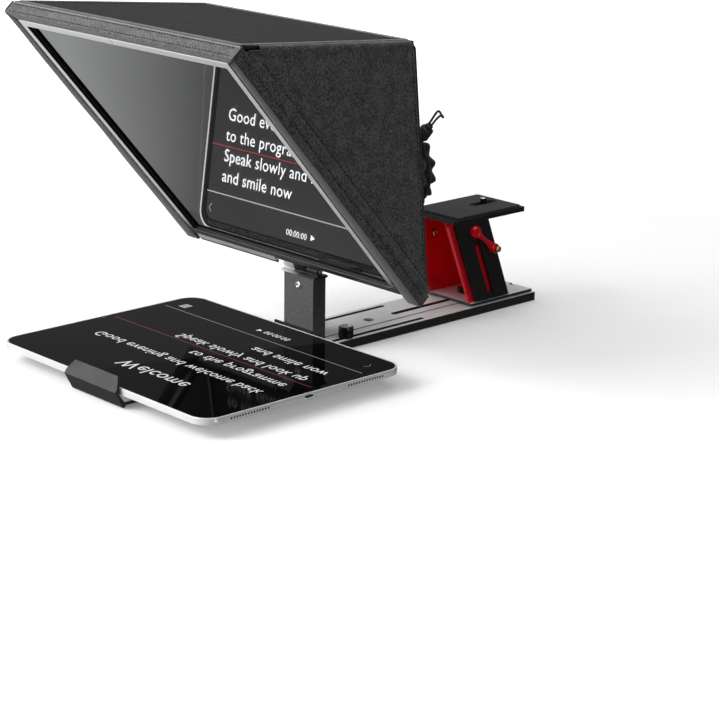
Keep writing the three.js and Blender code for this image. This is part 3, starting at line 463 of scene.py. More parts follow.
for finish_name, (members, softness) in STAYING.items():
    for member in members:
        dress(member, finish_name, softness)

# ---------- mesh tools ----------


def piece(name, points, faces, finish, body, sharp=35, second=None):
    """Makes a closed mesh, finishes it and lets it ride on a body."""
    mesh = bpy.data.meshes.new(name)
    mesh.from_pydata(points, [], faces)
    mesh.validate()
    mesh.materials.append(FINISH[finish])
    if second:
        mesh.materials.append(FINISH[second])
    shell = bmesh.new()
    shell.from_mesh(mesh)
    bmesh.ops.recalc_face_normals(shell, faces=shell.faces)
    shell.to_mesh(mesh)
    shell.free()
    mesh.polygons.foreach_set("use_smooth", [True] * len(mesh.polygons))
    mesh.set_sharp_from_angle(angle=math.radians(sharp))
    obj = bpy.data.objects.new(name, mesh)
    bpy.context.scene.collection.objects.link(obj)
    if body:
        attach(obj, body)
    return obj


class Shell:
    """Points and faces of one piece while it is being built."""

    def __init__(self):
        self.points = []
        self.faces = []

    def rings(self, rings, closed=False, capped=True):
        """Skins rings of points, each with the same count. A ring of one point is a pole."""
        start = []
        for ring in rings:
            start.append(len(self.points))
            self.points.extend(ring)
        pairs = list(zip(range(len(rings)), range(1, len(rings))))
        if closed:
            pairs.append((len(rings) - 1, 0))
        for a, b in pairs:
            self.skin(start[a], len(rings[a]), start[b], len(rings[b]))
        if capped and not closed:
            if len(rings[0]) > 1:
                self.faces.append(list(range(start[0], start[0] + len(rings[0])))[::-1])
            if len(rings[-1]) > 1:
                self.faces.append(list(range(start[-1], start[-1] + len(rings[-1]))))

    def skin(self, a, count_a, b, count_b):
        count = max(count_a, count_b)
        for i in range(count):
            j = (i + 1) % count
            if count_a == 1:
                self.faces.append([a, b + j, b + i])
            elif count_b == 1:
                self.faces.append([a + i, a + j, b])
            else:
                self.faces.append([a + i, a + j, b + j, b + i])

    def lathe(self, profile, origin, axis, steps=48):
        """Turns a profile of (radius, height, shape) round an axis. Shape bends the ring's radius."""
        turn = Vector(axis).to_track_quat("Z", "Y").to_matrix()
        rings = []
        for radius, height, *shape in profile:
            if radius == 0:
                rings.append([Vector(origin) + turn @ Vector((0, 0, height))])
                continue
            ring = []
            for angle in turns(steps):
                r = shape[0](radius, angle) if shape else radius
                local = Vector((r * math.cos(angle), r * math.sin(angle), height))
                ring.append(Vector(origin) + turn @ local)
            rings.append(ring)
        self.rings(rings)

    def tube(self, path, radius, sides=10, closed=False):
        """Sweeps a round section along a path of points."""
        path = [Vector(p) for p in path]
        rings = []
        side = None
        for i, point in enumerate(path):
            ahead = path[(i + 1) % len(path)] if closed or i + 1 < len(path) else point
            behind = path[i - 1] if closed or i > 0 else point
            along = (ahead - behind).normalized()
            if side is None:
                side = along.orthogonal().normalized()
            side = (side - along * side.dot(along)).normalized()
            other = along.cross(side)
            ring = []
            for angle in turns(sides):
                ring.append(point + spoke(side, other, angle) * radius)
            rings.append(ring)
        self.rings(rings, closed)

    def to_piece(self, name, finish, body, sharp=35):
        return piece(name, self.points, self.faces, finish, body, sharp)


def turns(count):
    """Angles evenly spaced round a circle."""
    return [2 * math.pi * k / count for k in range(count)]


def spoke(a_axis, b_axis, angle):
    return a_axis * math.cos(angle) + b_axis * math.sin(angle)


def smooth_step(t):
    t = min(1.0, max(0.0, t))
    return t * t * (3 - 2 * t)


def line(a, b, count):
    return [Vector(a).lerp(Vector(b), i / (count - 1)) for i in range(count)]


def rounded_path(corners, radius, steps=6):
    """Straight runs between corners, with each inner corner rounded."""
    path = [Vector(corners[0])]
    for before, corner, after in zip(corners, corners[1:], corners[2:]):
        corner = Vector(corner)
        into = (Vector(before) - corner).normalized() * radius
        out = (Vector(after) - corner).normalized() * radius
        for i in range(steps + 1):
            t = i / steps
            path.append(corner + into * (1 - t) ** 2 + out * t**2)
    path.append(Vector(corners[-1]))
    return path


def hull_2d(points):
    """Corners of the convex outline round flat points, in order."""
    points = sorted(set((round(a, 6), round(b, 6)) for a, b in points))

    def half(run):
        chain = []
        for p in run:
            while len(chain) > 1:
                (ax, ay), (bx, by) = chain[-2], chain[-1]
                if (bx - ax) * (p[1] - ay) - (by - ay) * (p[0] - ax) > 1e-9:
                    break
                chain.pop()
            chain.append(p)
        return chain[:-1]

    return half(points) + half(points[::-1])


# ---------- hood ----------

HOOD_MIDDLE = sum(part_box("hood_collar"), Vector()) / 2
EDGE_ROUND = 1.5 * MM
CELL = 5 * MM


class Plate:
    """The outer face of a flat CAD plate: corners, outward normal, in-plane axes and thickness."""

    def __init__(self, node):
        mesh = frame["nodes"][node].data
        face = max(mesh.polygons, key=lambda polygon: polygon.area)
        points = [vertex.co.copy() for vertex in mesh.vertices]
        middle = sum(points, Vector()) / len(points)
        self.normal = face.normal.normalized()
        if self.normal.dot(middle - HOOD_MIDDLE) < 0:
            self.normal.negate()
        heights = [point.dot(self.normal) for point in points]
        self.thickness = max(heights) - min(heights)
        outer = [p for p, h in zip(points, heights) if h > max(heights) - 0.01 * MM]
        self.u = X_AXIS - self.normal * X_AXIS.dot(self.normal)
        if self.u.length < 0.5:
            self.u = Z_AXIS - self.normal * Z_AXIS.dot(self.normal)
        self.u.normalize()
        self.v = self.normal.cross(self.u)
        self.origin = sum(outer, Vector()) / len(outer)
        flat = [self.flat(point) for point in outer]
        self.outline = hull_2d(flat)
        self.corners = [self.at(a, b) for a, b in self.outline]

    def flat(self, point):
        away = point - self.origin
        return away.dot(self.u), away.dot(self.v)

    def at(self, a, b, out=0.0):
        return self.origin + self.u * a + self.v * b + self.normal * out

    def edge_distances(self, a, b):
        """Distance from a flat point to each edge, positive inside."""
        distances = []
        for (ax, ay), (bx, by) in zip(self.outline, self.outline[1:] + self.outline[:1]):
            length = math.hypot(bx - ax, by - ay)
            distances.append(((bx - ax) * (b - ay) - (by - ay) * (a - ax)) / length)
        return distances


def cloth_panel(name, node, body, hole=None, swell=0.5 * MM, ripple=0.35 * MM):
    """A stiffened cloth panel: rounded edges, a soft swell and slight unevenness, lined inside."""
    plate = Plate(node)
    grid = bmesh.new()
    wide = [a for a, _ in plate.outline]
    tall = [b for _, b in plate.outline]
    across = max(2, int((max(wide) - min(wide)) / CELL))
    along = max(2, int((max(tall) - min(tall)) / CELL))
    bmesh.ops.create_grid(grid, x_segments=across, y_segments=along, size=0.5)
    for vertex in grid.verts:
        vertex.co.x = min(wide) + (vertex.co.x + 0.5) * (max(wide) - min(wide))
        vertex.co.y = min(tall) + (vertex.co.y + 0.5) * (max(tall) - min(tall))
    for (ax, ay), (bx, by) in zip(plate.outline, plate.outline[1:] + plate.outline[:1]):
        inward = Vector((-(by - ay), bx - ax, 0)).normalized()
        for inset in (0, 0.1, 0.35, 0.75, 1.2):
            everything = grid.verts[:] + grid.edges[:] + grid.faces[:]
            bmesh.ops.bisect_plane(
                grid,
                geom=everything,
                dist=1e-7,
                plane_co=Vector((ax, ay, 0)) + inward * inset * EDGE_ROUND,
                plane_no=inward,
                clear_inner=inset == 0,
            )
    if hole:
        centre, radius = plate.flat(hole[0]), hole[1]
        cut_round_hole(grid, centre, radius)
    grid.verts.index_update()

    def depth(a, b):
        nearest = min(plate.edge_distances(a, b))
        if hole:
            nearest = min(nearest, math.hypot(a - centre[0], b - centre[1]) - radius)
        return max(0.0, nearest)

    def half_thickness(inside):
        share = min(1.0, inside / EDGE_ROUND)
        return plate.thickness / 2 * math.sqrt(max(0.0, 1 - (1 - share) ** 2))

    points, twin = [], {}
    for vertex in grid.verts:
        a, b = vertex.co.x, vertex.co.y
        inside = depth(a, b)
        half = half_thickness(inside)
        wave = noise.noise(Vector((a, b, len(name) * 0.01)) * 26) * ripple
        lift = (wave + swell * smooth_step(inside / (22 * MM))) * smooth_step(inside / (6 * MM))
        points.append(plate.at(a, b, lift + half - plate.thickness / 2))
        twin[vertex.index] = vertex.index
        if half > 0.02 * MM:
            twin[vertex.index] = -len(points)
    for vertex in grid.verts:
        if twin[vertex.index] < 0:
            top = points[vertex.index]
            half = half_thickness(depth(vertex.co.x, vertex.co.y))
            twin[vertex.index] = len(points)
            points.append(top - plate.normal * 2 * half)
    outer = [[v.index for v in face.verts] for face in grid.faces]
    faces = outer + [[twin[i] for i in face[::-1]] for face in outer]
    grid.free()
    made = piece(name, points, faces, "hood", body, 60, "lining")
    for polygon in made.data.polygons[len(outer):]:
        polygon.material_index = 1
    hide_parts(node)
    return made, plate


def cut_round_hole(grid, centre, radius):
    """Pulls the nearest grid points onto a circle and removes the faces inside it."""
    for vertex in grid.verts:
        away = Vector((vertex.co.x - centre[0], vertex.co.y - centre[1]))
        if abs(away.length - radius) < CELL * 0.55:
            away = away.normalized() * radius
            vertex.co.x = centre[0] + away.x
            vertex.co.y = centre[1] + away.y
    inside = []
    for face in grid.faces:
        middle = face.calc_center_median()
        if math.hypot(middle.x - centre[0], middle.y - centre[1]) < radius:
            inside.append(face)
    bmesh.ops.delete(grid, geom=inside, context="FACES")
    loose = [vertex for vertex in grid.verts if not vertex.link_faces]
    bmesh.ops.delete(grid, geom=loose, context="VERTS")


STITCH_LENGTH = 2.6 * MM
STITCH_PITCH = 3.7 * MM
STITCH_RADIUS = 0.45 * MM


def stitch_row(shell, start, end):
    """A row of stitches, each a short thread sunk at both ends."""
    start, end = Vector(start), Vector(end)
    along = (end - start).normalized()
    count = int((end - start).length / STITCH_PITCH)
    profile = [
        (0, 0),
        (STITCH_RADIUS * 0.7, STITCH_LENGTH * 0.12),
        (STITCH_RADIUS, STITCH_LENGTH * 0.5),
        (STITCH_RADIUS * 0.7, STITCH_LENGTH * 0.88),
        (0, STITCH_LENGTH),
    ]
    for i in range(count):
        shell.lathe(profile, start + along * STITCH_PITCH * (i + 0.3), along, 6)


def piping(name, runs, body, finish="piping", radius=1.1 * MM):
    shell = Shell()
    for run in runs:
        shell.tube(run, radius, 10)
    return shell.to_piece(name, finish, body, 50)


class Mouth:
    """The hood collar's outline, in x, up the slope (s) and towards the camera (n)."""

    def __init__(self):
        glass = frame["nodes"]["beam_splitter_glass"].data
        face = max(glass.polygons, key=lambda polygon: polygon.area)
        self.n = face.normal.normalized()
        if self.n.y < 0:
            self.n.negate()
        self.s = X_AXIS.cross(self.n) * -1
        if self.s.z < 0:
            self.s.negate()
        collar = [vertex.co for vertex in frame["nodes"]["hood_collar"].data.vertices]
        self.s0 = min(point.dot(self.s) for point in collar)
        self.n0 = min(point.dot(self.n) for point in collar)
        local = [(abs(p.x), p.dot(self.s) - self.s0, p.dot(self.n) - self.n0) for p in collar]
        self.depth = max(n for _, _, n in local)
        self.top = max(s for _, s, _ in local)
        self.inner = min(x for x, _, _ in local)
        self.inner_top = max(s for x, s, _ in local if abs(x - self.inner) < 0.1 * MM)
        self.low = max(x for x, s, _ in local if s < 1 * MM)
        self.high = max(x for x, s, _ in local if s > self.top - 0.1 * MM)

    def at(self, x, s, n):
        return X_AXIS * x + self.s * (s + self.s0) + self.n * (n + self.n0)


MOUTH = Mouth()
COLLAR_STEPS = 48
COLLAR_ROUND = 1.4 * MM
BINDING_START = 14 * MM
BINDING_STOP = 3 * MM
SIDE_FLARE = 0.1301


def collar():
    """The padded cloth collar round the frame's sides and top, swept as one rounded band."""
    stations = [
        ((MOUTH.inner, 0), (MOUTH.low, 0)),
        ((MOUTH.inner, MOUTH.inner_top), (MOUTH.high, MOUTH.top)),
        ((-MOUTH.inner, MOUTH.inner_top), (-MOUTH.high, MOUTH.top)),
        ((-MOUTH.inner, 0), (-MOUTH.low, 0)),
    ]
    section = []
    for corner_t, corner_n, turn in ((1, 1, 0), (0, 1, 90), (0, 0, 180), (1, 0, 270)):
        for step in range(4):
            angle = math.radians(turn + step * 30)
            section.append((corner_t, corner_n, math.cos(angle), math.sin(angle)))
    rings = []
    for (in_a, out_a), (in_b, out_b) in zip(stations, stations[1:]):
        for i in range(COLLAR_STEPS + (in_b == stations[-1][0])):
            t = i / COLLAR_STEPS
            inner = Vector(in_a).lerp(Vector(in_b), t)
            outer = Vector(out_a).lerp(Vector(out_b), t)
            width = (outer - inner).length
            round_t = COLLAR_ROUND / width
            ring = []
            for corner_t, corner_n, cos, sin in section:
                share = corner_t + (-1 if corner_t else 1) * round_t + cos * round_t
                flat = inner.lerp(outer, share)
                high = corner_n * MOUTH.depth + (-1 if corner_n else 1) * COLLAR_ROUND + sin * COLLAR_ROUND
                wave = noise.noise(Vector((flat.x, flat.y, high)) * 30) * 0.25 * MM
                ring.append(MOUTH.at(flat.x + wave, flat.y, high + wave))
            rings.append(ring)
    shell = Shell()
    shell.rings(rings)
    made = shell.to_piece("hood_collar_cloth", "hood", "frame", 70)
    # Slot 1 is the lighter brim cloth, painted light on the collar's top run; slot 2 is the binding.
    made.data.materials.append(FINISH["brim"])
    made.data.materials.append(FINISH["binding"])
    top_run = range(COLLAR_STEPS * len(section), 2 * COLLAR_STEPS * len(section))
    for polygon in made.data.polygons:
        if polygon.index in top_run:
            polygon.material_index = 1 if polygon.normal.dot(MOUTH.s) > -0.3 else 2
        elif polygon.normal.dot(MOUTH.n) < -0.5:
            polygon.material_index = 2
    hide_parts("hood_collar")
    binding = Shell()
    for side in (-1, 1):
        mitre = [
            MOUTH.at(side * (MOUTH.inner + 0.5 * MM), MOUTH.inner_top + 0.5 * MM, 0),
            MOUTH.at(side * MOUTH.high, MOUTH.top - 0.2 * MM, 0),
            MOUTH.at(side * MOUTH.high, MOUTH.top - 0.2 * MM, MOUTH.depth),
        ]
        binding.tube(rounded_path(mitre, 4 * MM), 0.9 * MM, 10)
    binding.to_piece("collar_mitre_binding", "binding", "frame", 60)
    # Collar top piping, mid-grey as a painted highlight.
    edge = Shell()
    edge.tube(
        line(
            MOUTH.at(-MOUTH.high + 2 * MM, MOUTH.top - 0.2 * MM, MOUTH.depth - 0.4 * MM),
            MOUTH.at(MOUTH.high - 2 * MM, MOUTH.top - 0.2 * MM, MOUTH.depth - 0.4 * MM),
            60,
        ),
        0.7 * MM,
    )
    edge.to_piece("collar_top_piping", "piping", "frame", 60)

    stitching = Shell()
    for side in (-1, 1):
        low = MOUTH.at(side * (MOUTH.low + 0.15 * MM), 6 * MM, 7 * MM)
        high = MOUTH.at(side * (MOUTH.high + 0.15 * MM), MOUTH.top - 4 * MM, 7 * MM)
        stitch_row(stitching, low, high)
    for depth in (2.2 * MM, MOUTH.depth - 2.2 * MM):
        left = MOUTH.at(-MOUTH.high + 4 * MM, MOUTH.top + 0.12 * MM, depth)
        stitch_row(stitching, left, MOUTH.at(MOUTH.high - 4 * MM, MOUTH.top + 0.12 * MM, depth))
    stitching.to_piece("collar_stitching", "thread", "frame", 60)


def seam_tape(name, start, end, across, out):
    """Thin tape over the hinge seam that joins a panel to the collar."""
    half_width = 4.6 * MM
    thick = 0.45 * MM
    upper = [(share, thick) for share in (-0.9, -0.45, -0.15, 0.15, 0.45, 0.9)]
    section = [(-1, 0), *upper, (1, 0), (0.5, -thick), (-0.5, -thick)]
    rings = []
    for point in line(start, end, 60):
        rings.append([point + across * half_width * share + out * lift for share, lift in section])
    shell = Shell()
    shell.rings(rings)
    made = shell.to_piece(name, "hood", None, 60)
    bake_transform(made)


def roof_binding(word, side, front, back):
    """Binding sewn to a side panel's upper edge. It laps over the slit below the roof's edge."""
    by_depth = sorted(Plate("hood_top_panel").corners, key=lambda point: point.y)
    roof_front = max(by_depth[:2], key=lambda point: point.x * side)
    roof_back = max(by_depth[2:], key=lambda point: point.x * side)
    out = X_AXIS * side
    along = (back - front).normalized()
    rise = along.cross(out) * side
    if rise.z < 0:
        rise = -rise
    length = (back - front).length
    rings = []
    for step in range(41):
        reach = (BINDING_START + (length - BINDING_START - BINDING_STOP) * step / 40) / length
        corner = front.lerp(back, reach)
        to_roof = roof_front.lerp(roof_back, reach) - corner
        wide, high = to_roof.dot(out), to_roof.dot(rise)
        wave = noise.noise(corner * 40) * 0.12 * MM
        outer = [
            (0.55 * MM, -4 * MM),
            (0.75 * MM, -0.4 * MM),
            (0.5 * MM, high * 0.3),
            (-0.2 * MM, high * 0.62),
            (-1.2 * MM, high * 0.88),
            (wide * 0.62, high + 0.1 * MM),
            (wide - 0.1 * MM, high + 0.35 * MM),
        ]
        inner = [
            (wide - 0.1 * MM, high - 0.05 * MM),
            (wide * 0.66, high - 0.35 * MM),
            (-1.4 * MM, high * 0.88 - 0.5 * MM),
            (-0.7 * MM, high * 0.58),
            (0, high * 0.26),
            (0.2 * MM, -0.4 * MM),
            (0.1 * MM, -4 * MM),
        ]
        rings.append([corner + out * (a + wave) + rise * b for a, b in outer + inner])
    shell = Shell()
    shell.rings(rings)
    shell.to_piece(f"hood_{word}_roof_binding", "hood", f"hood_{word}", 60)


def side_panels():
    """Both side panels with their stitching, edge piping, roof binding and seam tape."""
    for side, word in ((-1, "left"), (1, "right")):
        _, plate = cloth_panel(f"hood_{word}_cloth", f"hood_{word}_panel", f"hood_{word}")
        tip, *upper = sorted(plate.corners, key=lambda point: point.z)
        front = min(upper, key=lambda point: point.y)
        back = max(upper, key=lambda point: point.y)
        inward = -plate.normal * 0.5 * MM
        edge = (front - tip).normalized()
        into = (back - tip - edge * (back - tip).dot(edge)).normalized()
        stitching = Shell()
        depth = 5.5 * MM
        lift = plate.normal * 0.15 * MM
        stitch_row(
            stitching,
            tip + edge * depth * 1.5 + into * depth + lift,
            front - edge * depth * 3 + into * depth + lift,
        )
        roof = (back - front).normalized()
        roof_binding(word, side, front, back)
        stitch_row(
            stitching,
            back + (tip - back).normalized() * 5 * MM - roof * 4 * MM + lift,
            tip + (back - tip).normalized() * 16 * MM - roof * 4 * MM + lift,
        )
        stitching.to_piece(f"hood_{word}_stitching", "thread", f"hood_{word}", 60)
        run = rounded_path([front + roof * 3 * MM, back, tip + edge * 2 * MM], 4 * MM)
        piping(f"hood_{word}_piping", [[p + inward for p in run]], f"hood_{word}", "binding")
        seam_n = MOUTH.depth + 0.2 * MM
        low_x = side * (MOUTH.low - SIDE_FLARE * MOUTH.depth / 2 + 0.1 * MM)
        high_x = side * (MOUTH.high - SIDE_FLARE * MOUTH.depth / 2 + 0.1 * MM)
        across = (MOUTH.n - X_AXIS * side * SIDE_FLARE).normalized()
        seam_tape(
            f"hood_{word}_seam_tape",
            MOUTH.at(low_x, 3 * MM, seam_n),
            MOUTH.at(high_x, MOUTH.top - 13 * MM, seam_n),
            across,
            plate.normal,
        )


def roof_panel():
    """The roof with its piping, stitching and seam tape."""
    roof, plate = cloth_panel("hood_top_cloth", "hood_top_panel", "hood_top", swell=0.9 * MM)
    # The roof takes the darker copy of the hood cloth: painted shade.
    roof.data.materials[0] = FINISH["roof"]
    by_depth = sorted(plate.corners, key=lambda point: point.y)
    front = sorted(by_depth[:2], key=lambda point: point.x)
    back = sorted(by_depth[2:], key=lambda point: point.x)
    lift = plate.normal * 0.5 * MM
    widen = X_AXIS * -1.2 * MM
    forward = (front[0] - back[0]).normalized() * 1.8 * MM
    path = [front[0] - widen, back[0] - widen + forward, back[1] + widen + forward, front[1] + widen]
    run = rounded_path([point + lift for point in path], 3 * MM)
    # Roof piping, mid-grey as a painted highlight along its edges.
    piping("hood_top_piping", [run], "hood_top", "piping", 0.9 * MM)
    stitching = Shell()
    up = plate.normal * 0.12 * MM
    for side in (0, 1):
        inward = X_AXIS * (4 * MM if side == 0 else -4 * MM)
        stitch_row(stitching, front[side] + inward + up, back[side] + inward + up)
    behind = (front[0] - back[0]).normalized() * 4 * MM
    stitch_row(stitching, back[0] + behind + X_AXIS * 6 * MM + up, back[1] + behind - X_AXIS * 6 * MM + up)
    stitching.to_piece("hood_top_stitching", "thread", "hood_top", 60)
    slope = back[0] - front[0]
    along = (slope - X_AXIS * slope.x).normalized()
    seam = (front[0] + front[1]) / 2
    half = (front[1].x - front[0].x) / 2
    seam_tape(
        "hood_top_seam_tape",
        seam - X_AXIS * half + plate.normal * 0.3 * MM,
        seam + X_AXIS * half + plate.normal * 0.3 * MM,
        along,
        plate.normal,
    )


def sleeve_axis():
    """Centre of the sleeve's root, its outward direction, its radii and its length."""
    mesh = frame["nodes"]["lens_sleeve"].data
    out = Plate("hood_back_panel").normal
    depths = [vertex.co.dot(out) for vertex in mesh.vertices]
    root = [v.co for v in mesh.vertices if v.co.dot(out) < min(depths) + 0.1 * MM]
    end = [v.co for v in mesh.vertices if v.co.dot(out) > max(depths) - 0.1 * MM]
    centre = sum(root, Vector()) / len(root)
    end_centre = sum(end, Vector()) / len(end)
    root_radius = max((point - centre).length for point in root)
    end_radius = max((point - end_centre).length for point in end)
    return centre, out, root_radius, end_radius, max(depths) - min(depths)


SLEEVE_FOLDS = 15
SLEEVE_AROUND = 120
SLEEVE_ALONG = 44
SLEEVE_CAP = 5 * MM


def sleeve_radius(t, angle, root_radius, end_radius):
    """Radius of the gathered sleeve, t from 0 at the hood to 1 at its hem."""
    gather = smooth_step((t - 0.12) / 0.72)
    phase = 2.2 * noise.noise(Vector((math.cos(angle), math.sin(angle), 0.6 * t)) * 1.4)
    fold = math.sin(SLEEVE_FOLDS * angle + phase)
    hem = math.exp(-((t - 0.93) / 0.035) ** 2)
    base = root_radius + (end_radius - root_radius) * t
    bell = 1.5 * MM * math.sin(math.pi * min(1, t / 0.9))
    depth = (0.5 + 2.3 * gather) * MM * (1 - 0.55 * hem)
    return base + bell - depth * 0.5 + fold * depth - 2.6 * MM * hem


def sleeve():
    """The gathered cloth sleeve with its sewn flange. Returns what the cord is laid out from."""
    centre, out, root_radius, end_radius, length = sleeve_axis()
    side = X_AXIS
    up = out.cross(side).normalized()
    rings = []
    for i in range(SLEEVE_ALONG):
        t = i / (SLEEVE_ALONG - 1)
        ring = []
        for angle in turns(SLEEVE_AROUND):
            radius = sleeve_radius(t, angle, root_radius - 1 * MM, end_radius - 0.5 * MM)
            ring.append(centre + out * length * t + spoke(side, up, angle) * radius)
        rings.append(ring)
    shell = Shell()
    shell.rings(rings, capped=False)
    made = piece("lens_sleeve_cloth", shell.points, shell.faces, "sleeve", None, 80)
    drape(made, len(rings))
    thicken = made.modifiers.new("thicken", "SOLIDIFY")
    thicken.thickness = 1.1 * MM
    thicken.offset = -1
    apply_modifiers(made)
    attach(made, "hood_back")
    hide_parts("lens_sleeve")

    flange = Shell()
    inner = root_radius - 3 * MM
    profile = [
        (inner, 0.0),
        (inner, 1.0 * MM),
        (root_radius + 0.5 * MM, 1.5 * MM),
        (root_radius + 5 * MM, 1.2 * MM),
        (root_radius + 5.6 * MM, 0.5 * MM),
        (root_radius + 5.4 * MM, 0.05 * MM),
    ]
    flange_rings = []
    for radius, height in profile:
        ring = [centre + spoke(side, up, angle) * radius + out * height for angle in turns(96)]
        flange_rings.append(ring)
    flange.rings(flange_rings, closed=True)
    flange.to_piece("sleeve_flange", "sleeve", "hood_back", 60)
    stitching = Shell()
    profile = [(0, 0), (0.3 * MM, 0.5 * MM), (0.3 * MM, 1.9 * MM), (0, 2.4 * MM)]
    for angle in turns(84):
        start = centre + spoke(side, up, angle) * (root_radius + 3.4 * MM) + out * 1.35 * MM
        stitching.lathe(profile, start, spoke(up, -side, angle).normalized(), 6)
    stitching.to_piece("sleeve_stitching", "thread", "hood_back", 60)
    return centre, out, root_radius, end_radius


def apply_modifiers(obj):
    depsgraph = bpy.context.evaluated_depsgraph_get()
    final = bpy.data.meshes.new_from_object(obj.evaluated_get(depsgraph))
    obj.modifiers.clear()
    obj.data = final


def drape(obj, count):
    """Lets the slack cloth hang between its sewn root and its corded hem."""
    rest = [vertex.co.copy() for vertex in obj.data.vertices]
    pinned = obj.vertex_groups.new(name="pinned")
    sewn, hemmed = range(2), range(count - 6, count)
    for i in (*sewn, *hemmed):
        members = list(range(i * SLEEVE_AROUND, (i + 1) * SLEEVE_AROUND))
        pinned.add(members, 1.0, "REPLACE")
    simulated = obj.modifiers.new("drape", "CLOTH")
    settings = simulated.settings
    settings.quality = 6
    settings.mass = 0.12
    settings.tension_stiffness = 12
    settings.compression_stiffness = 12
    settings.shear_stiffness = 4
    settings.bending_stiffness = 0.15
    settings.shrink_min = -0.035
    settings.vertex_group_mass = "pinned"
    simulated.collision_settings.use_collision = False
    scene = bpy.context.scene
    for step in range(1, 21):
        scene.frame_set(step)
    apply_modifiers(obj)
    scene.frame_set(1)
    for vertex, start in zip(obj.data.vertices, rest):
        move = vertex.co - start
        if move.length > SLEEVE_CAP:
            vertex.co = start + move.normalized() * SLEEVE_CAP
    obj.data.polygons.foreach_set("use_smooth", [True] * len(obj.data.polygons))


def draw_cord(centre, out, end_radius):
    """The cord in the hem, with the loop that leaves it through the cord lock."""
    side = X_AXIS
    up = out.cross(side).normalized()
    lock = Vector(JOINTS["cord_lock_slide"]["axis"]).normalized()
    low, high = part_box("sleeve_cord")
    hem = centre + out * ((low + high) / 2 - centre).dot(out)
    radius = end_radius + 0.6 * MM
    shell = Shell()
    ring = []
    for angle in turns(96):
        wave = 0.5 * MM * math.sin(SLEEVE_FOLDS * angle)
        place = hem + spoke(side, up, angle) * (radius + wave)
        ring.append(place + out * 0.3 * MM * math.sin(4 * angle))
    shell.tube(ring, 1.15 * MM, 8, closed=True)
    across = lock.cross(out).normalized()
    start = hem + lock * radius
    loop = []
    for i in range(41):
        t = i / 40
        reach = 44 * MM * math.sin(math.pi * t) ** 0.55
        spread_out = 5.5 * MM * math.sin(math.pi * t) ** 3 + 1.5 * MM
        sway = spread_out * math.cos(math.pi * t)
        droop = -Z_AXIS * 9 * MM * math.sin(math.pi * t) ** 6
        loop.append(start + lock * reach + across * sway + droop)
    shell.tube(loop, 1.05 * MM, 8)
    made = shell.to_piece("sleeve_draw_cord", "cord", "hood_back", 60)
    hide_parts("sleeve_cord")


def rounded_block(shell, centre, axes, halves, radius, steps=4):
    """A block with rounded corners in the plane of its first two axes and softened ends."""
    a_axis, b_axis, c_axis = axes
    half_a, half_b, half_c = halves
    rings = []
    for level, inset in ((-1, 0.8), (-0.97, 0.35), (-0.86, 0.0), (0.86, 0.0), (0.97, 0.35), (1, 0.8)):
        ring = []
        for corner_a, corner_b, turn in ((1, 1, 0), (-1, 1, 90), (-1, -1, 180), (1, -1, 270)):
            for step in range(steps + 1):
                angle = math.radians(turn + 90 * step / steps)
                shrink = inset * radius * 0.5
                a = corner_a * (half_a - radius) + (radius - shrink) * math.cos(angle)
                b = corner_b * (half_b - radius) + (radius - shrink) * math.sin(angle)
                ring.append(centre + a_axis * a + b_axis * b + c_axis * half_c * level)
        rings.append(ring)
    shell.rings(rings)


def cord_lock(out):
    """The cord lock's barrel and its plunger, on their own bodies."""
    lock = Vector(JOINTS["cord_lock_slide"]["axis"]).normalized()
    across = lock.cross(out).normalized()
    for node, body, name, wide, deep, lean in (
        ("cord_lock_shell", "cord_lock", "cord_lock_barrel", 5.2 * MM, 4.6 * MM, 2.2 * MM),
        ("cord_lock_button", "cord_button", "cord_lock_plunger", 3.0 * MM, 2.6 * MM, 1.2 * MM),
    ):
        points = [vertex.co for vertex in frame["nodes"][node].data.vertices]
        along = [point.dot(lock) for point in points]
        middle = sum(points, Vector()) / len(points)
        centre = middle + lock * ((max(along) + min(along)) / 2 - middle.dot(lock))
        shell = Shell()
        half = (max(along) - min(along)) / 2
        rounded_block(shell, centre, (across, out, lock), (wide, deep, half), lean)
        made = shell.to_piece(name, "plastic", body, 40)
        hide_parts(node)


collar()
side_panels()
roof_panel()
sleeve_root, sleeve_out, sleeve_root_radius, sleeve_end_radius = sleeve()
draw_cord(sleeve_root, sleeve_out, sleeve_end_radius)
sleeve_hole = (sleeve_root, sleeve_root_radius - 3 * MM)
cloth_panel("hood_back_cloth", "hood_back_panel", "hood_back", hole=sleeve_hole)
cord_lock(sleeve_out)

# ---------- turned and milled parts ----------


def knurl(teeth, depth):
    """A radius that dips between even teeth."""
    return lambda radius, angle: radius - depth * (0.5 - 0.5 * math.cos(teeth * angle))


def hexagon(radius, angle):
    """The radius of a hexagon's side at an angle."""
    sector = (angle + math.pi / 6) % (math.pi / 3) - math.pi / 6
    return radius / math.cos(sector)


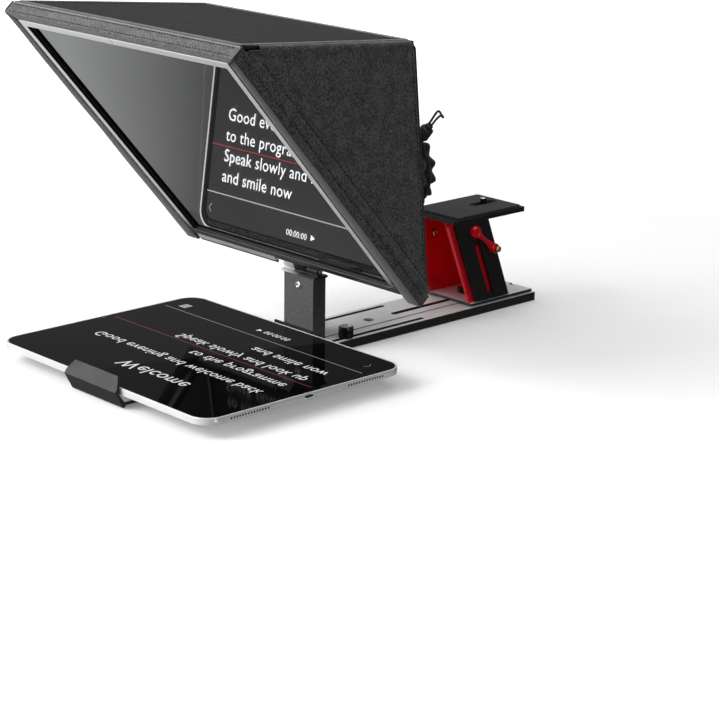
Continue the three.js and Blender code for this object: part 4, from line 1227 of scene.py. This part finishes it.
def knob(name, node, body, head, shank):
    """A knurled screw head with a dished bright top, and its shank."""
    low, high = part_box(node)
    radius = (high.x - low.x) / 2
    middle = Vector(((low.x + high.x) / 2, (low.y + high.y) / 2, 0))
    teeth = knurl(36, 0.55 * MM)
    top, foot = high.z, high.z - head
    if body == "camera_screw_body":
        foot, top = low.z, low.z + head
    rim = 0.9 * MM
    profile = [
        (0, top - 0.5 * MM),
        (radius * 0.5, top - 0.5 * MM),
        (radius * 0.6, top - 0.05 * MM),
        (radius * 0.84, top),
        (radius - 0.15 * MM, top - rim * 0.8, teeth),
        (radius, top - rim, teeth),
        (radius, foot + rim, teeth),
        (radius - 0.15 * MM, foot + rim * 0.8, teeth),
        (radius * 0.84, foot),
    ]
    if body == "camera_screw_body":
        neck = [(shank, top), (shank, high.z - 0.6 * MM), (shank - 0.6 * MM, high.z), (0, high.z)]
        profile = neck[::-1] + profile[3:] + [(radius * 0.5, foot), (0, foot + 0.4 * MM)]
    else:
        profile += [(shank, foot), (shank, low.z + 0.5 * MM), (shank - 0.5 * MM, low.z), (0, low.z)]
    shell = Shell()
    shell.lathe(profile, middle, Z_AXIS, 144)
    made = shell.to_piece(name, "knob", body, 32)
    made.data.materials.append(FINISH["knob_top"])
    for polygon in made.data.polygons:
        inner = math.hypot(polygon.center.x - middle.x, polygon.center.y - middle.y) < radius * 0.86
        if polygon.normal.z > 0.5 and inner and polygon.center.z > top - 1 * MM:
            polygon.material_index = 1
    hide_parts(node)


def socket_screw(name, node, body, axis, head, finish, slim):
    """A button-headed screw with a hexagon socket. Axis points out of the head."""
    points = [vertex.co for vertex in frame["nodes"][node].data.vertices]
    low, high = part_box(node)
    middle = (low + high) / 2
    along = [point.dot(axis) for point in points]
    top, foot = max(along), min(along)
    base = middle - axis * middle.dot(axis)
    radius = max((point - base - axis * point.dot(axis)).length for point in points)
    profile = [
        (0, top - head * 0.75),
        (radius * 0.34, top - head * 0.7, hexagon),
        (radius * 0.36, top - head * 0.12, hexagon),
        (radius * 0.5, top),
        (radius * 0.72, top - head * 0.1),
        (radius * 0.93, top - head * 0.4),
        (radius, top - head * 0.72),
        (radius, top - head),
        (radius * slim, top - head),
        (radius * slim, foot + 0.3 * MM),
        (radius * slim - 0.3 * MM, foot),
        (0, foot),
    ]
    shell = Shell()
    shell.lathe(profile, base, axis, 48)
    made = shell.to_piece(name, finish, body, 34)
    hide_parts(node)


LEVER_TUCK = 2.6 * MM


def clamp_lever():
    """The clamp lever: a hub, a waisted arm and a boss, joined into one casting."""
    low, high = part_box("clamp_lever")
    pivot = Vector(JOINTS["clamp_turn"]["pos_m"])
    tip_low, tip_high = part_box("clamp_lever_screw")
    tip = (tip_low + tip_high) / 2
    inner = Vector((0, pivot.y, pivot.z))
    face = high.x - LEVER_TUCK
    parts = []
    hub = Shell()
    hub_profile = [
        (0, low.x),
        (2.2 * MM, low.x),
        (2.2 * MM, face - 7.9 * MM),
        (4.6 * MM, face - 7.9 * MM),
        (5.6 * MM, face - 7.2 * MM),
        (5.6 * MM, face - 2.6 * MM),
        (4.9 * MM, face - 1.4 * MM),
        (3.2 * MM, face - 1.0 * MM),
        (2.6 * MM, face - 1.8 * MM),
        (0, face - 2.0 * MM),
    ]
    hub.lathe(hub_profile, inner, X_AXIS, 48)
    parts.append(hub.to_piece("clamp_lever_casting", "red", "clamp", 34))
    boss = Shell()
    boss_profile = [
        (2.15 * MM, face - 6.2 * MM),
        (3.9 * MM, face - 6.2 * MM),
        (4.6 * MM, face - 5.5 * MM),
        (4.6 * MM, face - 0.9 * MM),
        (3.8 * MM, face - 0.1 * MM),
        (2.15 * MM, face - 0.1 * MM),
    ]
    boss_rings = []
    for radius, x in boss_profile:
        middle = Vector((x, tip.y, tip.z))
        boss_rings.append([middle + spoke(Y_AXIS, Z_AXIS, angle) * radius for angle in turns(48)])
    boss.rings(boss_rings, closed=True)
    parts.append(boss.to_piece("lever_boss", "red", "clamp", 34))
    arm = Shell()
    reach = Vector((0, tip.y - pivot.y, tip.z - pivot.z))
    length = reach.length
    along = reach.normalized()
    across = X_AXIS.cross(along)
    rings = []
    for i in range(25):
        t = 0.08 + 0.80 * i / 24
        waist = 1 - 0.42 * math.sin(math.pi * (t - 0.02) / 0.9) ** 1.5
        wide, thick = 3.9 * MM * waist, 2.3 * MM * (0.55 + 0.45 * waist)
        level = face - 4.0 * MM + 0.4 * MM * math.sin(math.pi * t)
        middle = Vector((level, pivot.y, pivot.z)) + along * length * t
        rings.append([middle + spoke(across * wide, X_AXIS * thick, angle) for angle in turns(20)])
    arm.rings(rings)
    parts.append(arm.to_piece("lever_arm", "red", "clamp", 60))
    fused = parts[0]
    for other in parts[1:]:
        union = fused.modifiers.new("union", "BOOLEAN")
        union.operation = "UNION"
        union.solver = "EXACT"
        union.object = other
    bpy.context.view_layer.update()
    apply_modifiers(fused)
    for other in parts[1:]:
        bpy.data.objects.remove(other)
    fused.data.set_sharp_from_angle(angle=math.radians(34))
    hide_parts("clamp_lever")


def frame_sill():
    """The satin strip and its black lower channel along the frame's lower edge, left of the hinge."""
    points = [vertex.co for vertex in frame["nodes"]["glass_frame"].data.vertices]
    low_s = min(point.dot(MOUTH.s) for point in points) - MOUTH.s0
    low_n = min(point.dot(MOUTH.n) for point in points) - MOUTH.n0
    left = min(point.x for point in points) + 3 * MM
    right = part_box("hinge_leaf_upper")[0].x - 4 * MM
    front, back = low_n + 0.6 * MM, low_n + 3 * MM
    round_off = 0.4 * MM
    for name, finish, low, high in (
        ("frame_sill_strip", "trim", low_s - 7.6 * MM, low_s - 0.1 * MM),
        ("frame_sill_channel", "black", low_s - 9.6 * MM, low_s - 7.7 * MM),
    ):
        section = []
        corners = ((low, front), (high, front), (high, back), (low, back))
        for (s, n), turn in zip(corners, (180, 270, 0, 90)):
            middle_s = s + (round_off if s == low else -round_off)
            middle_n = n + (round_off if n == front else -round_off)
            for step in range(3):
                angle = math.radians(turn + 45 * step)
                point = middle_s + round_off * math.sin(angle), middle_n + round_off * math.cos(angle)
                section.append(point)
        section = hull_2d(section)
        shell = Shell()
        shell.rings([[MOUTH.at(x, s, n) for s, n in section] for x in (left, right)])
        shell.to_piece(name, finish, "frame", 30)


frame_sill()
THUMB_HEAD = 10.8 * MM
for word in ("left", "right"):
    knob(f"arm_thumb_knob_{word}", f"arm_thumb_screw_{word}", f"thumb_{word}", THUMB_HEAD, 1.8 * MM)
knob("riser_lock_knob", "riser_lock_screw", "riser_lock", 6 * MM, 1.9 * MM)
knob("camera_thumb_screw", "camera_screw", "camera_screw_body", 5 * MM, 3.1 * MM)
for name, node, body, axis, head, finish, slot, slim in (
    ("column_socket_screw", "column_cross_screw", "base", -Y_AXIS, 1.4 * MM, "steel", "steel", 0.55),
    ("lever_brass_screw", "clamp_lever_screw", "clamp", X_AXIS, 1.2 * MM, "brass", "brass_screw", 0.62),
    ("guide_screw_left", "guide_pin_left", "riser", X_AXIS, 1.6 * MM, "brass", "brass_screw", 0.58),
    ("guide_screw_right", "guide_pin_right", "riser", -X_AXIS, 1.6 * MM, "black", "brass_screw", 0.58),
    ("clamp_bolt_left", "clamp_screw_left", "riser", -X_AXIS, 2 * MM, "red", "red_anodised", 0.42),
):
    socket_screw(name, node, body, axis, head, finish, slim)
clamp_lever()

# ---------- tablet ----------

GLASS_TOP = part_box("tablet_screen_glass")[1].z
INK = 0.03 * MM


def screen_strip(name, x, y, finish, body="tablet"):
    """A thin lit line on the screen, from x[0] to x[1] and y[0] to y[1]."""
    shell = Shell()
    z = GLASS_TOP + 0.002 * MM
    rings = []
    for level, inset in ((z, 0.0), (z + INK, 0.03 * MM)):
        corners = ((x[0] + inset, y[0] + inset), (x[1] - inset, y[0] + inset),
                   (x[1] - inset, y[1] - inset), (x[0] + inset, y[1] - inset))
        rings.append([Vector((a, b, level)) for a, b in corners])
    shell.rings(rings)
    return shell.to_piece(name, finish, body, 30)


def screen_text(name, words, x, y, size, align="LEFT"):
    """One line of script, written for the mirror: it reads the right way round in the glass."""
    curve = bpy.data.curves.new(name, "FONT")
    curve.body = words
    curve.size = size
    curve.align_x = align
    curve.extrude = INK / 2
    curve.resolution_u = 3
    curve.space_character = 1.04
    source = bpy.data.objects.new(name + "_source", curve)
    bpy.context.scene.collection.objects.link(source)
    bpy.context.view_layer.update()
    mesh = bpy.data.meshes.new_from_object(source.evaluated_get(bpy.context.evaluated_depsgraph_get()))
    bpy.data.objects.remove(source)
    mesh.transform(Matrix.Translation((x, y, GLASS_TOP + INK)) @ Matrix.Diagonal((1, -1, 1, 1)))
    mesh.flip_normals()
    mesh.materials.clear()
    mesh.materials.append(FINISH["text"])
    obj = bpy.data.objects.new(name, mesh)
    bpy.context.scene.collection.objects.link(obj)
    return obj


TITLE = "Welcome"
SCRIPT = ("Good evening and welcome back", "to the programme", "Speak slowly and look up", "and smile now")
TEXT_RIGHT = 114 * MM
TITLE_Y = CASE_LOW.y + 50 * MM
TITLE_SIZE = 21 * MM
ROWS_Y = (-236 * MM, -210 * MM, -187 * MM, -164 * MM)
ROW_SIZE = 15.5 * MM
SEPARATOR_Y = -145 * MM
CUE_Y = -201 * MM
TIMER_Y = -127 * MM
TIMER = "00:00:00"


def arrow(name, x, y):
    """A small triangle that points to +X."""
    shell = Shell()
    corners = [(x, y - 6 * MM), (x + 5.5 * MM, y - 3.2 * MM), (x, y - 0.4 * MM)]
    shell.rings([[Vector((a, b, GLASS_TOP + lift)) for a, b in corners] for lift in (0.002 * MM, INK)])
    return shell.to_piece(name, "text", None)


def chevron(name, x, y, side):
    """A small angle bracket that opens away from the screen's edge."""
    shell = Shell()
    path = [(x - side * 3 * MM, y - 4 * MM), (x, y), (x - side * 3 * MM, y + 4 * MM)]
    shell.tube([Vector((a, b, GLASS_TOP)) for a, b in path], 0.35 * MM, 6)
    for i, point in enumerate(shell.points):
        shell.points[i] = Vector((point.x, point.y, GLASS_TOP + (point.z - GLASS_TOP) * 0.1 + 0.04 * MM))
    return shell.to_piece(name, "line", None)


def prompter_screen():
    """The script on the tablet: mirrored lines that end at its right-hand edge."""
    shown = [screen_text("script_title", TITLE, 20 * MM, TITLE_Y, TITLE_SIZE, "CENTER")]
    for row, (words, y) in enumerate(zip(SCRIPT, ROWS_Y)):
        shown.append(screen_text(f"script_line_{row + 1}", words, TEXT_RIGHT, y, ROW_SIZE, "RIGHT"))
    left, right = CASE_LOW.x + 9 * MM, CASE_HIGH.x - 9 * MM
    for name, y, tall, finish in (
        ("screen_separator", SEPARATOR_Y, 0.9 * MM, "line"),
        ("screen_cue_line", CUE_Y, 0.8 * MM, "cue"),
    ):
        shown.append(screen_strip(name, (left, right), (y, y + tall), finish))
    shown.append(screen_text("screen_timer", TIMER, -9 * MM, TIMER_Y, 9 * MM))
    shown.append(arrow("screen_play_arrow", -18 * MM, TIMER_Y))
    for row in range(4):
        y = CASE_HIGH.y - (26 + 2.6 * row) * MM
        name = f"screen_menu_bar_{row + 1}"
        shown.append(screen_strip(name, (left + 10 * MM, left + 19 * MM), (y, y + 1.1 * MM), "text"))
    shown.append(chevron("screen_back_chevron", right - 10 * MM, TIMER_Y, 1))
    for made in shown:
        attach(made, "tablet")


def row_of_holes(shell, start, count, pitch, radius, face, z):
    """Near-black discs set a little into the tablet's edge: painted shade for the depth of the holes."""
    profile = [(0, -0.2 * MM), (radius, -0.2 * MM), (radius, 0.02 * MM), (0, 0.02 * MM)]
    for i in range(count):
        shell.lathe(profile, (face, start + i * pitch, z), X_AXIS, 14)


def edge_openings():
    """Speaker holes and the connector in the tablet's right-hand edge, and the camera dot."""
    face = CASE_HIGH.x
    middle_z = (CASE_LOW.z + CASE_HIGH.z) / 2 - 0.2 * MM
    span = CASE_HIGH.y - CASE_LOW.y
    shell = Shell()
    for first in (0.125, 0.70):
        row_of_holes(shell, CASE_LOW.y + span * first, 14, 2.9 * MM, 0.95 * MM, face, middle_z)
    shell.to_piece("tablet_speaker_holes", "dark", "tablet", 30)
    port = Shell()
    centre_y = (CASE_LOW.y + CASE_HIGH.y) / 2
    rounded_block(
        port,
        Vector((face - 0.6 * MM, centre_y, middle_z)),
        (Y_AXIS, Z_AXIS, X_AXIS),
        (4.2 * MM, 1.1 * MM, 0.6 * MM),
        1.05 * MM,
    )
    port.to_piece("tablet_port_tongue", "dark", "tablet", 30)
    lens = Shell()
    lens_profile = [(0, 0.0), (1.6 * MM, 0.0), (1.5 * MM, 0.03 * MM), (0.8 * MM, 0.01 * MM), (0, 0.02 * MM)]
    lens.lathe(lens_profile, (CASE_LOW.x + 5 * MM, centre_y, GLASS_TOP), Z_AXIS, 24)
    lens.to_piece("tablet_front_camera", "dark", "tablet", 30)


prompter_screen()
edge_openings()

# ---------- what the glass reflects ----------

MIRROR_SHIFT = Vector((-73 * MM, 11 * MM, -3 * MM))
MIRROR_LEFT = -112 * MM
MIRROR_ROWS_Y = (-210 * MM, -190.5 * MM, -171 * MM, -151.5 * MM)
MIRROR_ROW_SIZE = 16.5 * MM
MIRROR_RIGHT = 260 * MM
MIRROR_TIMER_Y = -119 * MM
MIRROR_FLOOR_HALF = 2
MIRROR_FLOOR_BACK = -101 * MM


def flat_face(name, points):
    """A one-face mesh of the stage."""
    mesh = bpy.data.meshes.new(name)
    mesh.from_pydata(points, [], [list(range(len(points)))])
    made = bpy.data.objects.new(name, mesh)
    bpy.context.scene.collection.objects.link(made)
    return made


def only_mirrored(obj, finish):
    """Shows an object to mirrors alone. It is part of the lighting, not of the object."""
    obj.data.materials.clear()
    obj.data.materials.append(finish)
    obj.visible_camera = False
    obj.visible_diffuse = False
    obj.visible_shadow = False
    obj.visible_transmission = False
    obj.visible_volume_scatter = False


def lit_sheet(name, points, finish, strength):
    """A flat sheet that glows white and is seen in mirrors alone."""
    sheet = flat_face(name, points)
    finish.set("Specular IOR Level", 0.0)
    finish.shine(WHITE, strength)
    only_mirrored(sheet, finish.material)
    return sheet


def mirrored_sheet(name, inset, z, corner, glow):
    """A tablet-shaped sheet with two round corners that runs off beyond the glass on the right."""
    low = Vector((CASE_LOW.x + inset, CASE_LOW.y + inset))
    high = Vector((MIRROR_RIGHT, CASE_HIGH.y - inset))
    outline = [(high.x, low.y), (high.x, high.y)]
    for start, centre_y in ((90, high.y - corner), (180, low.y + corner)):
        for step in range(13):
            angle = math.radians(start + 7.5 * step)
            outline.append((low.x + corner + corner * math.cos(angle), centre_y + corner * math.sin(angle)))
    finish = Finish(name, BLACK, 0.9)
    uneven = finish.spread(finish.grain(4, 1), 0.3, 0.7, glow * 0.94, glow * 1.06)
    sheet = lit_sheet(name, [(a, b, z) for a, b in outline], finish, uneven)
    sheet.location = MIRROR_SHIFT


def mirrored_floor():
    """The soft gradient that the bare side of the glass reflects."""
    z = CAD_BOX[0].z + 1.5 * MM
    half, back = MIRROR_FLOOR_HALF, MIRROR_FLOOR_BACK
    finish = Finish("mirrored_floor", BLACK, 0.9)
    near = finish.spread(finish.along("X"), -0.47, -0.20, 0.86, 0.16)
    far = finish.spread(finish.along("Y"), -0.42, -0.12, 0.86, 1.06)
    corners = [(-half, -half, z), (half, -half, z), (half, back, z), (-half, back, z)]
    lit_sheet("mirrored_floor", corners, finish, finish.math("MULTIPLY", near, far))


def mirrored_screen():
    """What the glass shows of the script, upright and in its photo's layout."""
    text = glowing("mirrored_text", WHITE, 3.8).material
    grey = glowing("mirrored_line", (0.7, 0.7, 0.72), 2.2).material
    red = glowing("mirrored_cue", (0.8, 0.1, 0.1), 1.5).material
    shown = []
    for row, (words, y) in enumerate(zip(SCRIPT, MIRROR_ROWS_Y)):
        made = screen_text(f"mirrored_line_{row + 1}", words, MIRROR_LEFT, y, MIRROR_ROW_SIZE)
        shown.append((made, text))
    left = CASE_LOW.x + 9 * MM
    separator = (-140 * MM, -139 * MM)
    cue = (-185.5 * MM, -184.7 * MM)
    shown.append((screen_strip("mirrored_separator", (left, MIRROR_RIGHT), separator, "line", None), grey))
    shown.append((screen_strip("mirrored_cue", (left, MIRROR_RIGHT), cue, "cue", None), red))
    shown.append((screen_text("mirrored_timer", TIMER, -14 * MM, MIRROR_TIMER_Y, 8 * MM), text))
    shown.append((arrow("mirrored_arrow", 20 * MM, MIRROR_TIMER_Y), text))
    shown.append((chevron("mirrored_chevron", left + 5 * MM, -124 * MM, -1), grey))
    for obj, finish in shown:
        obj.location = MIRROR_SHIFT
        only_mirrored(obj, finish)
    mirrored_sheet("mirrored_case", 0, GLASS_TOP - 0.3 * MM, 18 * MM, 1.9)
    mirrored_sheet("mirrored_bezel", 2.1 * MM, GLASS_TOP - 0.2 * MM, 16 * MM, 0.05)
    mirrored_sheet("mirrored_display", 10 * MM, GLASS_TOP - 0.1 * MM, 10 * MM, 0.145)


TABLET_BODIES = ("tablet", "power_button", "volume_up", "volume_down")


def hide_tablet_from_mirrors():
    """The sheets above stand in for the tablet in mirrors, so the tablet itself is left out."""
    for obj in bpy.context.scene.objects:
        holder = obj.parent
        if obj.type == "MESH" and holder and holder in [frame["bodies"][name] for name in TABLET_BODIES]:
            obj.visible_glossy = False


mirrored_floor()
mirrored_screen()
hide_tablet_from_mirrors()

# ---------- stage, light and camera ----------

CAMERA_PLACE = (1.3197, -1.2635, 0.5502)
CAMERA_AZIMUTH = 46.81
CAMERA_ELEVATION = 17.70
CAMERA_ROLL = 0.87
CAMERA_LENS = 104.68
ROOM_BRIGHT_SIDE = (-0.45, -0.75, 0.45)
ROOM_BRIGHT = 1.05
ROOM_DIM = 0.10


def add_floor():
    """A pale floor that fades to white with distance and casts no light back at the object."""
    half = 30
    floor = flat_face("floor", [(-half, -half, 0), (half, -half, 0), (half, half, 0), (-half, half, 0)])
    floor.location.z = CAD_BOX[0].z - 0.5 * MM
    pale, paler = (0.86, 0.86, 0.86), (0.88, 0.88, 0.88)
    made = Finish("pale_floor", pale, 0.9)
    made.set("Base Color", made.mix(made.spread(made.grain(2, 2), 0.3, 0.7), pale, paler))
    distance = made.node("ShaderNodeVectorMath", {0: made.place}, operation="LENGTH").outputs["Value"]
    made.shine(WHITE, made.spread(distance, 0.55, 1.6, 0.12, 0.8))
    floor.data.materials.append(made.material)
    floor.visible_diffuse = False
    floor.visible_glossy = False


def add_light(name, place, target, size, power):
    """A soft rectangular light that faces its target."""
    data = bpy.data.lights.new(name, "AREA")
    data.shape = "RECTANGLE"
    data.size, data.size_y = size
    data.energy = power
    light = bpy.data.objects.new(name, data)
    light.location = place
    light.rotation_mode = "QUATERNION"
    light.rotation_quaternion = (Vector(target) - Vector(place)).to_track_quat("-Z", "Y")
    bpy.context.scene.collection.objects.link(light)


def add_world():
    """White to the camera; to the object, a room that is bright up and to the front left."""
    world = bpy.data.worlds.new("studio")
    world.use_nodes = True
    tree = world.node_tree
    nodes, links = tree.nodes, tree.links
    background = nodes["Background"]
    ray = nodes.new("ShaderNodeLightPath")
    direction = nodes.new("ShaderNodeTexCoord")
    lean = nodes.new("ShaderNodeVectorMath")
    lean.operation = "DOT_PRODUCT"
    lean.inputs[1].default_value = Vector(ROOM_BRIGHT_SIDE).normalized()
    room = nodes.new("ShaderNodeMapRange")
    room.interpolation_type = "SMOOTHSTEP"
    room.inputs["From Min"].default_value = -0.35
    room.inputs["From Max"].default_value = 0.95
    room.inputs["To Min"].default_value = ROOM_DIM
    room.inputs["To Max"].default_value = ROOM_BRIGHT
    mix = nodes.new("ShaderNodeMix")
    mix.inputs[3].default_value = 1.0
    links.new(direction.outputs["Generated"], lean.inputs[0])
    links.new(lean.outputs["Value"], room.inputs["Value"])
    links.new(ray.outputs["Is Camera Ray"], mix.inputs["Factor"])
    links.new(room.outputs[0], mix.inputs[2])
    links.new(mix.outputs[0], background.inputs["Strength"])
    background.inputs["Color"].default_value = (1, 1, 1, 1)
    bpy.context.scene.world = world


def add_camera():
    """The camera, from its place and its three angles."""
    data = bpy.data.cameras.new("camera")
    data.sensor_fit = "HORIZONTAL"
    data.sensor_width = 36
    data.lens = CAMERA_LENS
    data.clip_start, data.clip_end = 0.05, 100
    camera = bpy.data.objects.new("camera", data)
    azimuth, elevation, roll = (math.radians(a) for a in (CAMERA_AZIMUTH, CAMERA_ELEVATION, CAMERA_ROLL))
    forward = Vector((
        -math.sin(azimuth) * math.cos(elevation),
        math.cos(azimuth) * math.cos(elevation),
        -math.sin(elevation),
    ))
    level = Vector((math.cos(azimuth), math.sin(azimuth), 0))
    above = level.cross(forward)
    right = level * math.cos(roll) + above * math.sin(roll)
    up = above * math.cos(roll) - level * math.sin(roll)
    camera.matrix_world = Matrix((
        (right.x, up.x, -forward.x, CAMERA_PLACE[0]),
        (right.y, up.y, -forward.y, CAMERA_PLACE[1]),
        (right.z, up.z, -forward.z, CAMERA_PLACE[2]),
        (0, 0, 0, 1),
    ))
    bpy.context.scene.collection.objects.link(camera)
    bpy.context.scene.camera = camera


add_floor()
add_world()
MIDDLE = (CAD_BOX[0] + CAD_BOX[1]) / 2
add_light("key", (-0.7, -1.8, 1.3), MIDDLE, (1.2, 1.0), 34)
add_light("overhead", (0.0, 0.2, 2.2), MIDDLE, (1.4, 1.4), 9)
add_light("low front", (-0.35, -1.5, 0.24), MIDDLE, (1.3, 0.3), 9)
add_light("side", (2.1, -0.3, 1.0), MIDDLE, (0.8, 1.0), 8)
add_camera()
bpy.context.scene.view_settings.view_transform = "Standard"
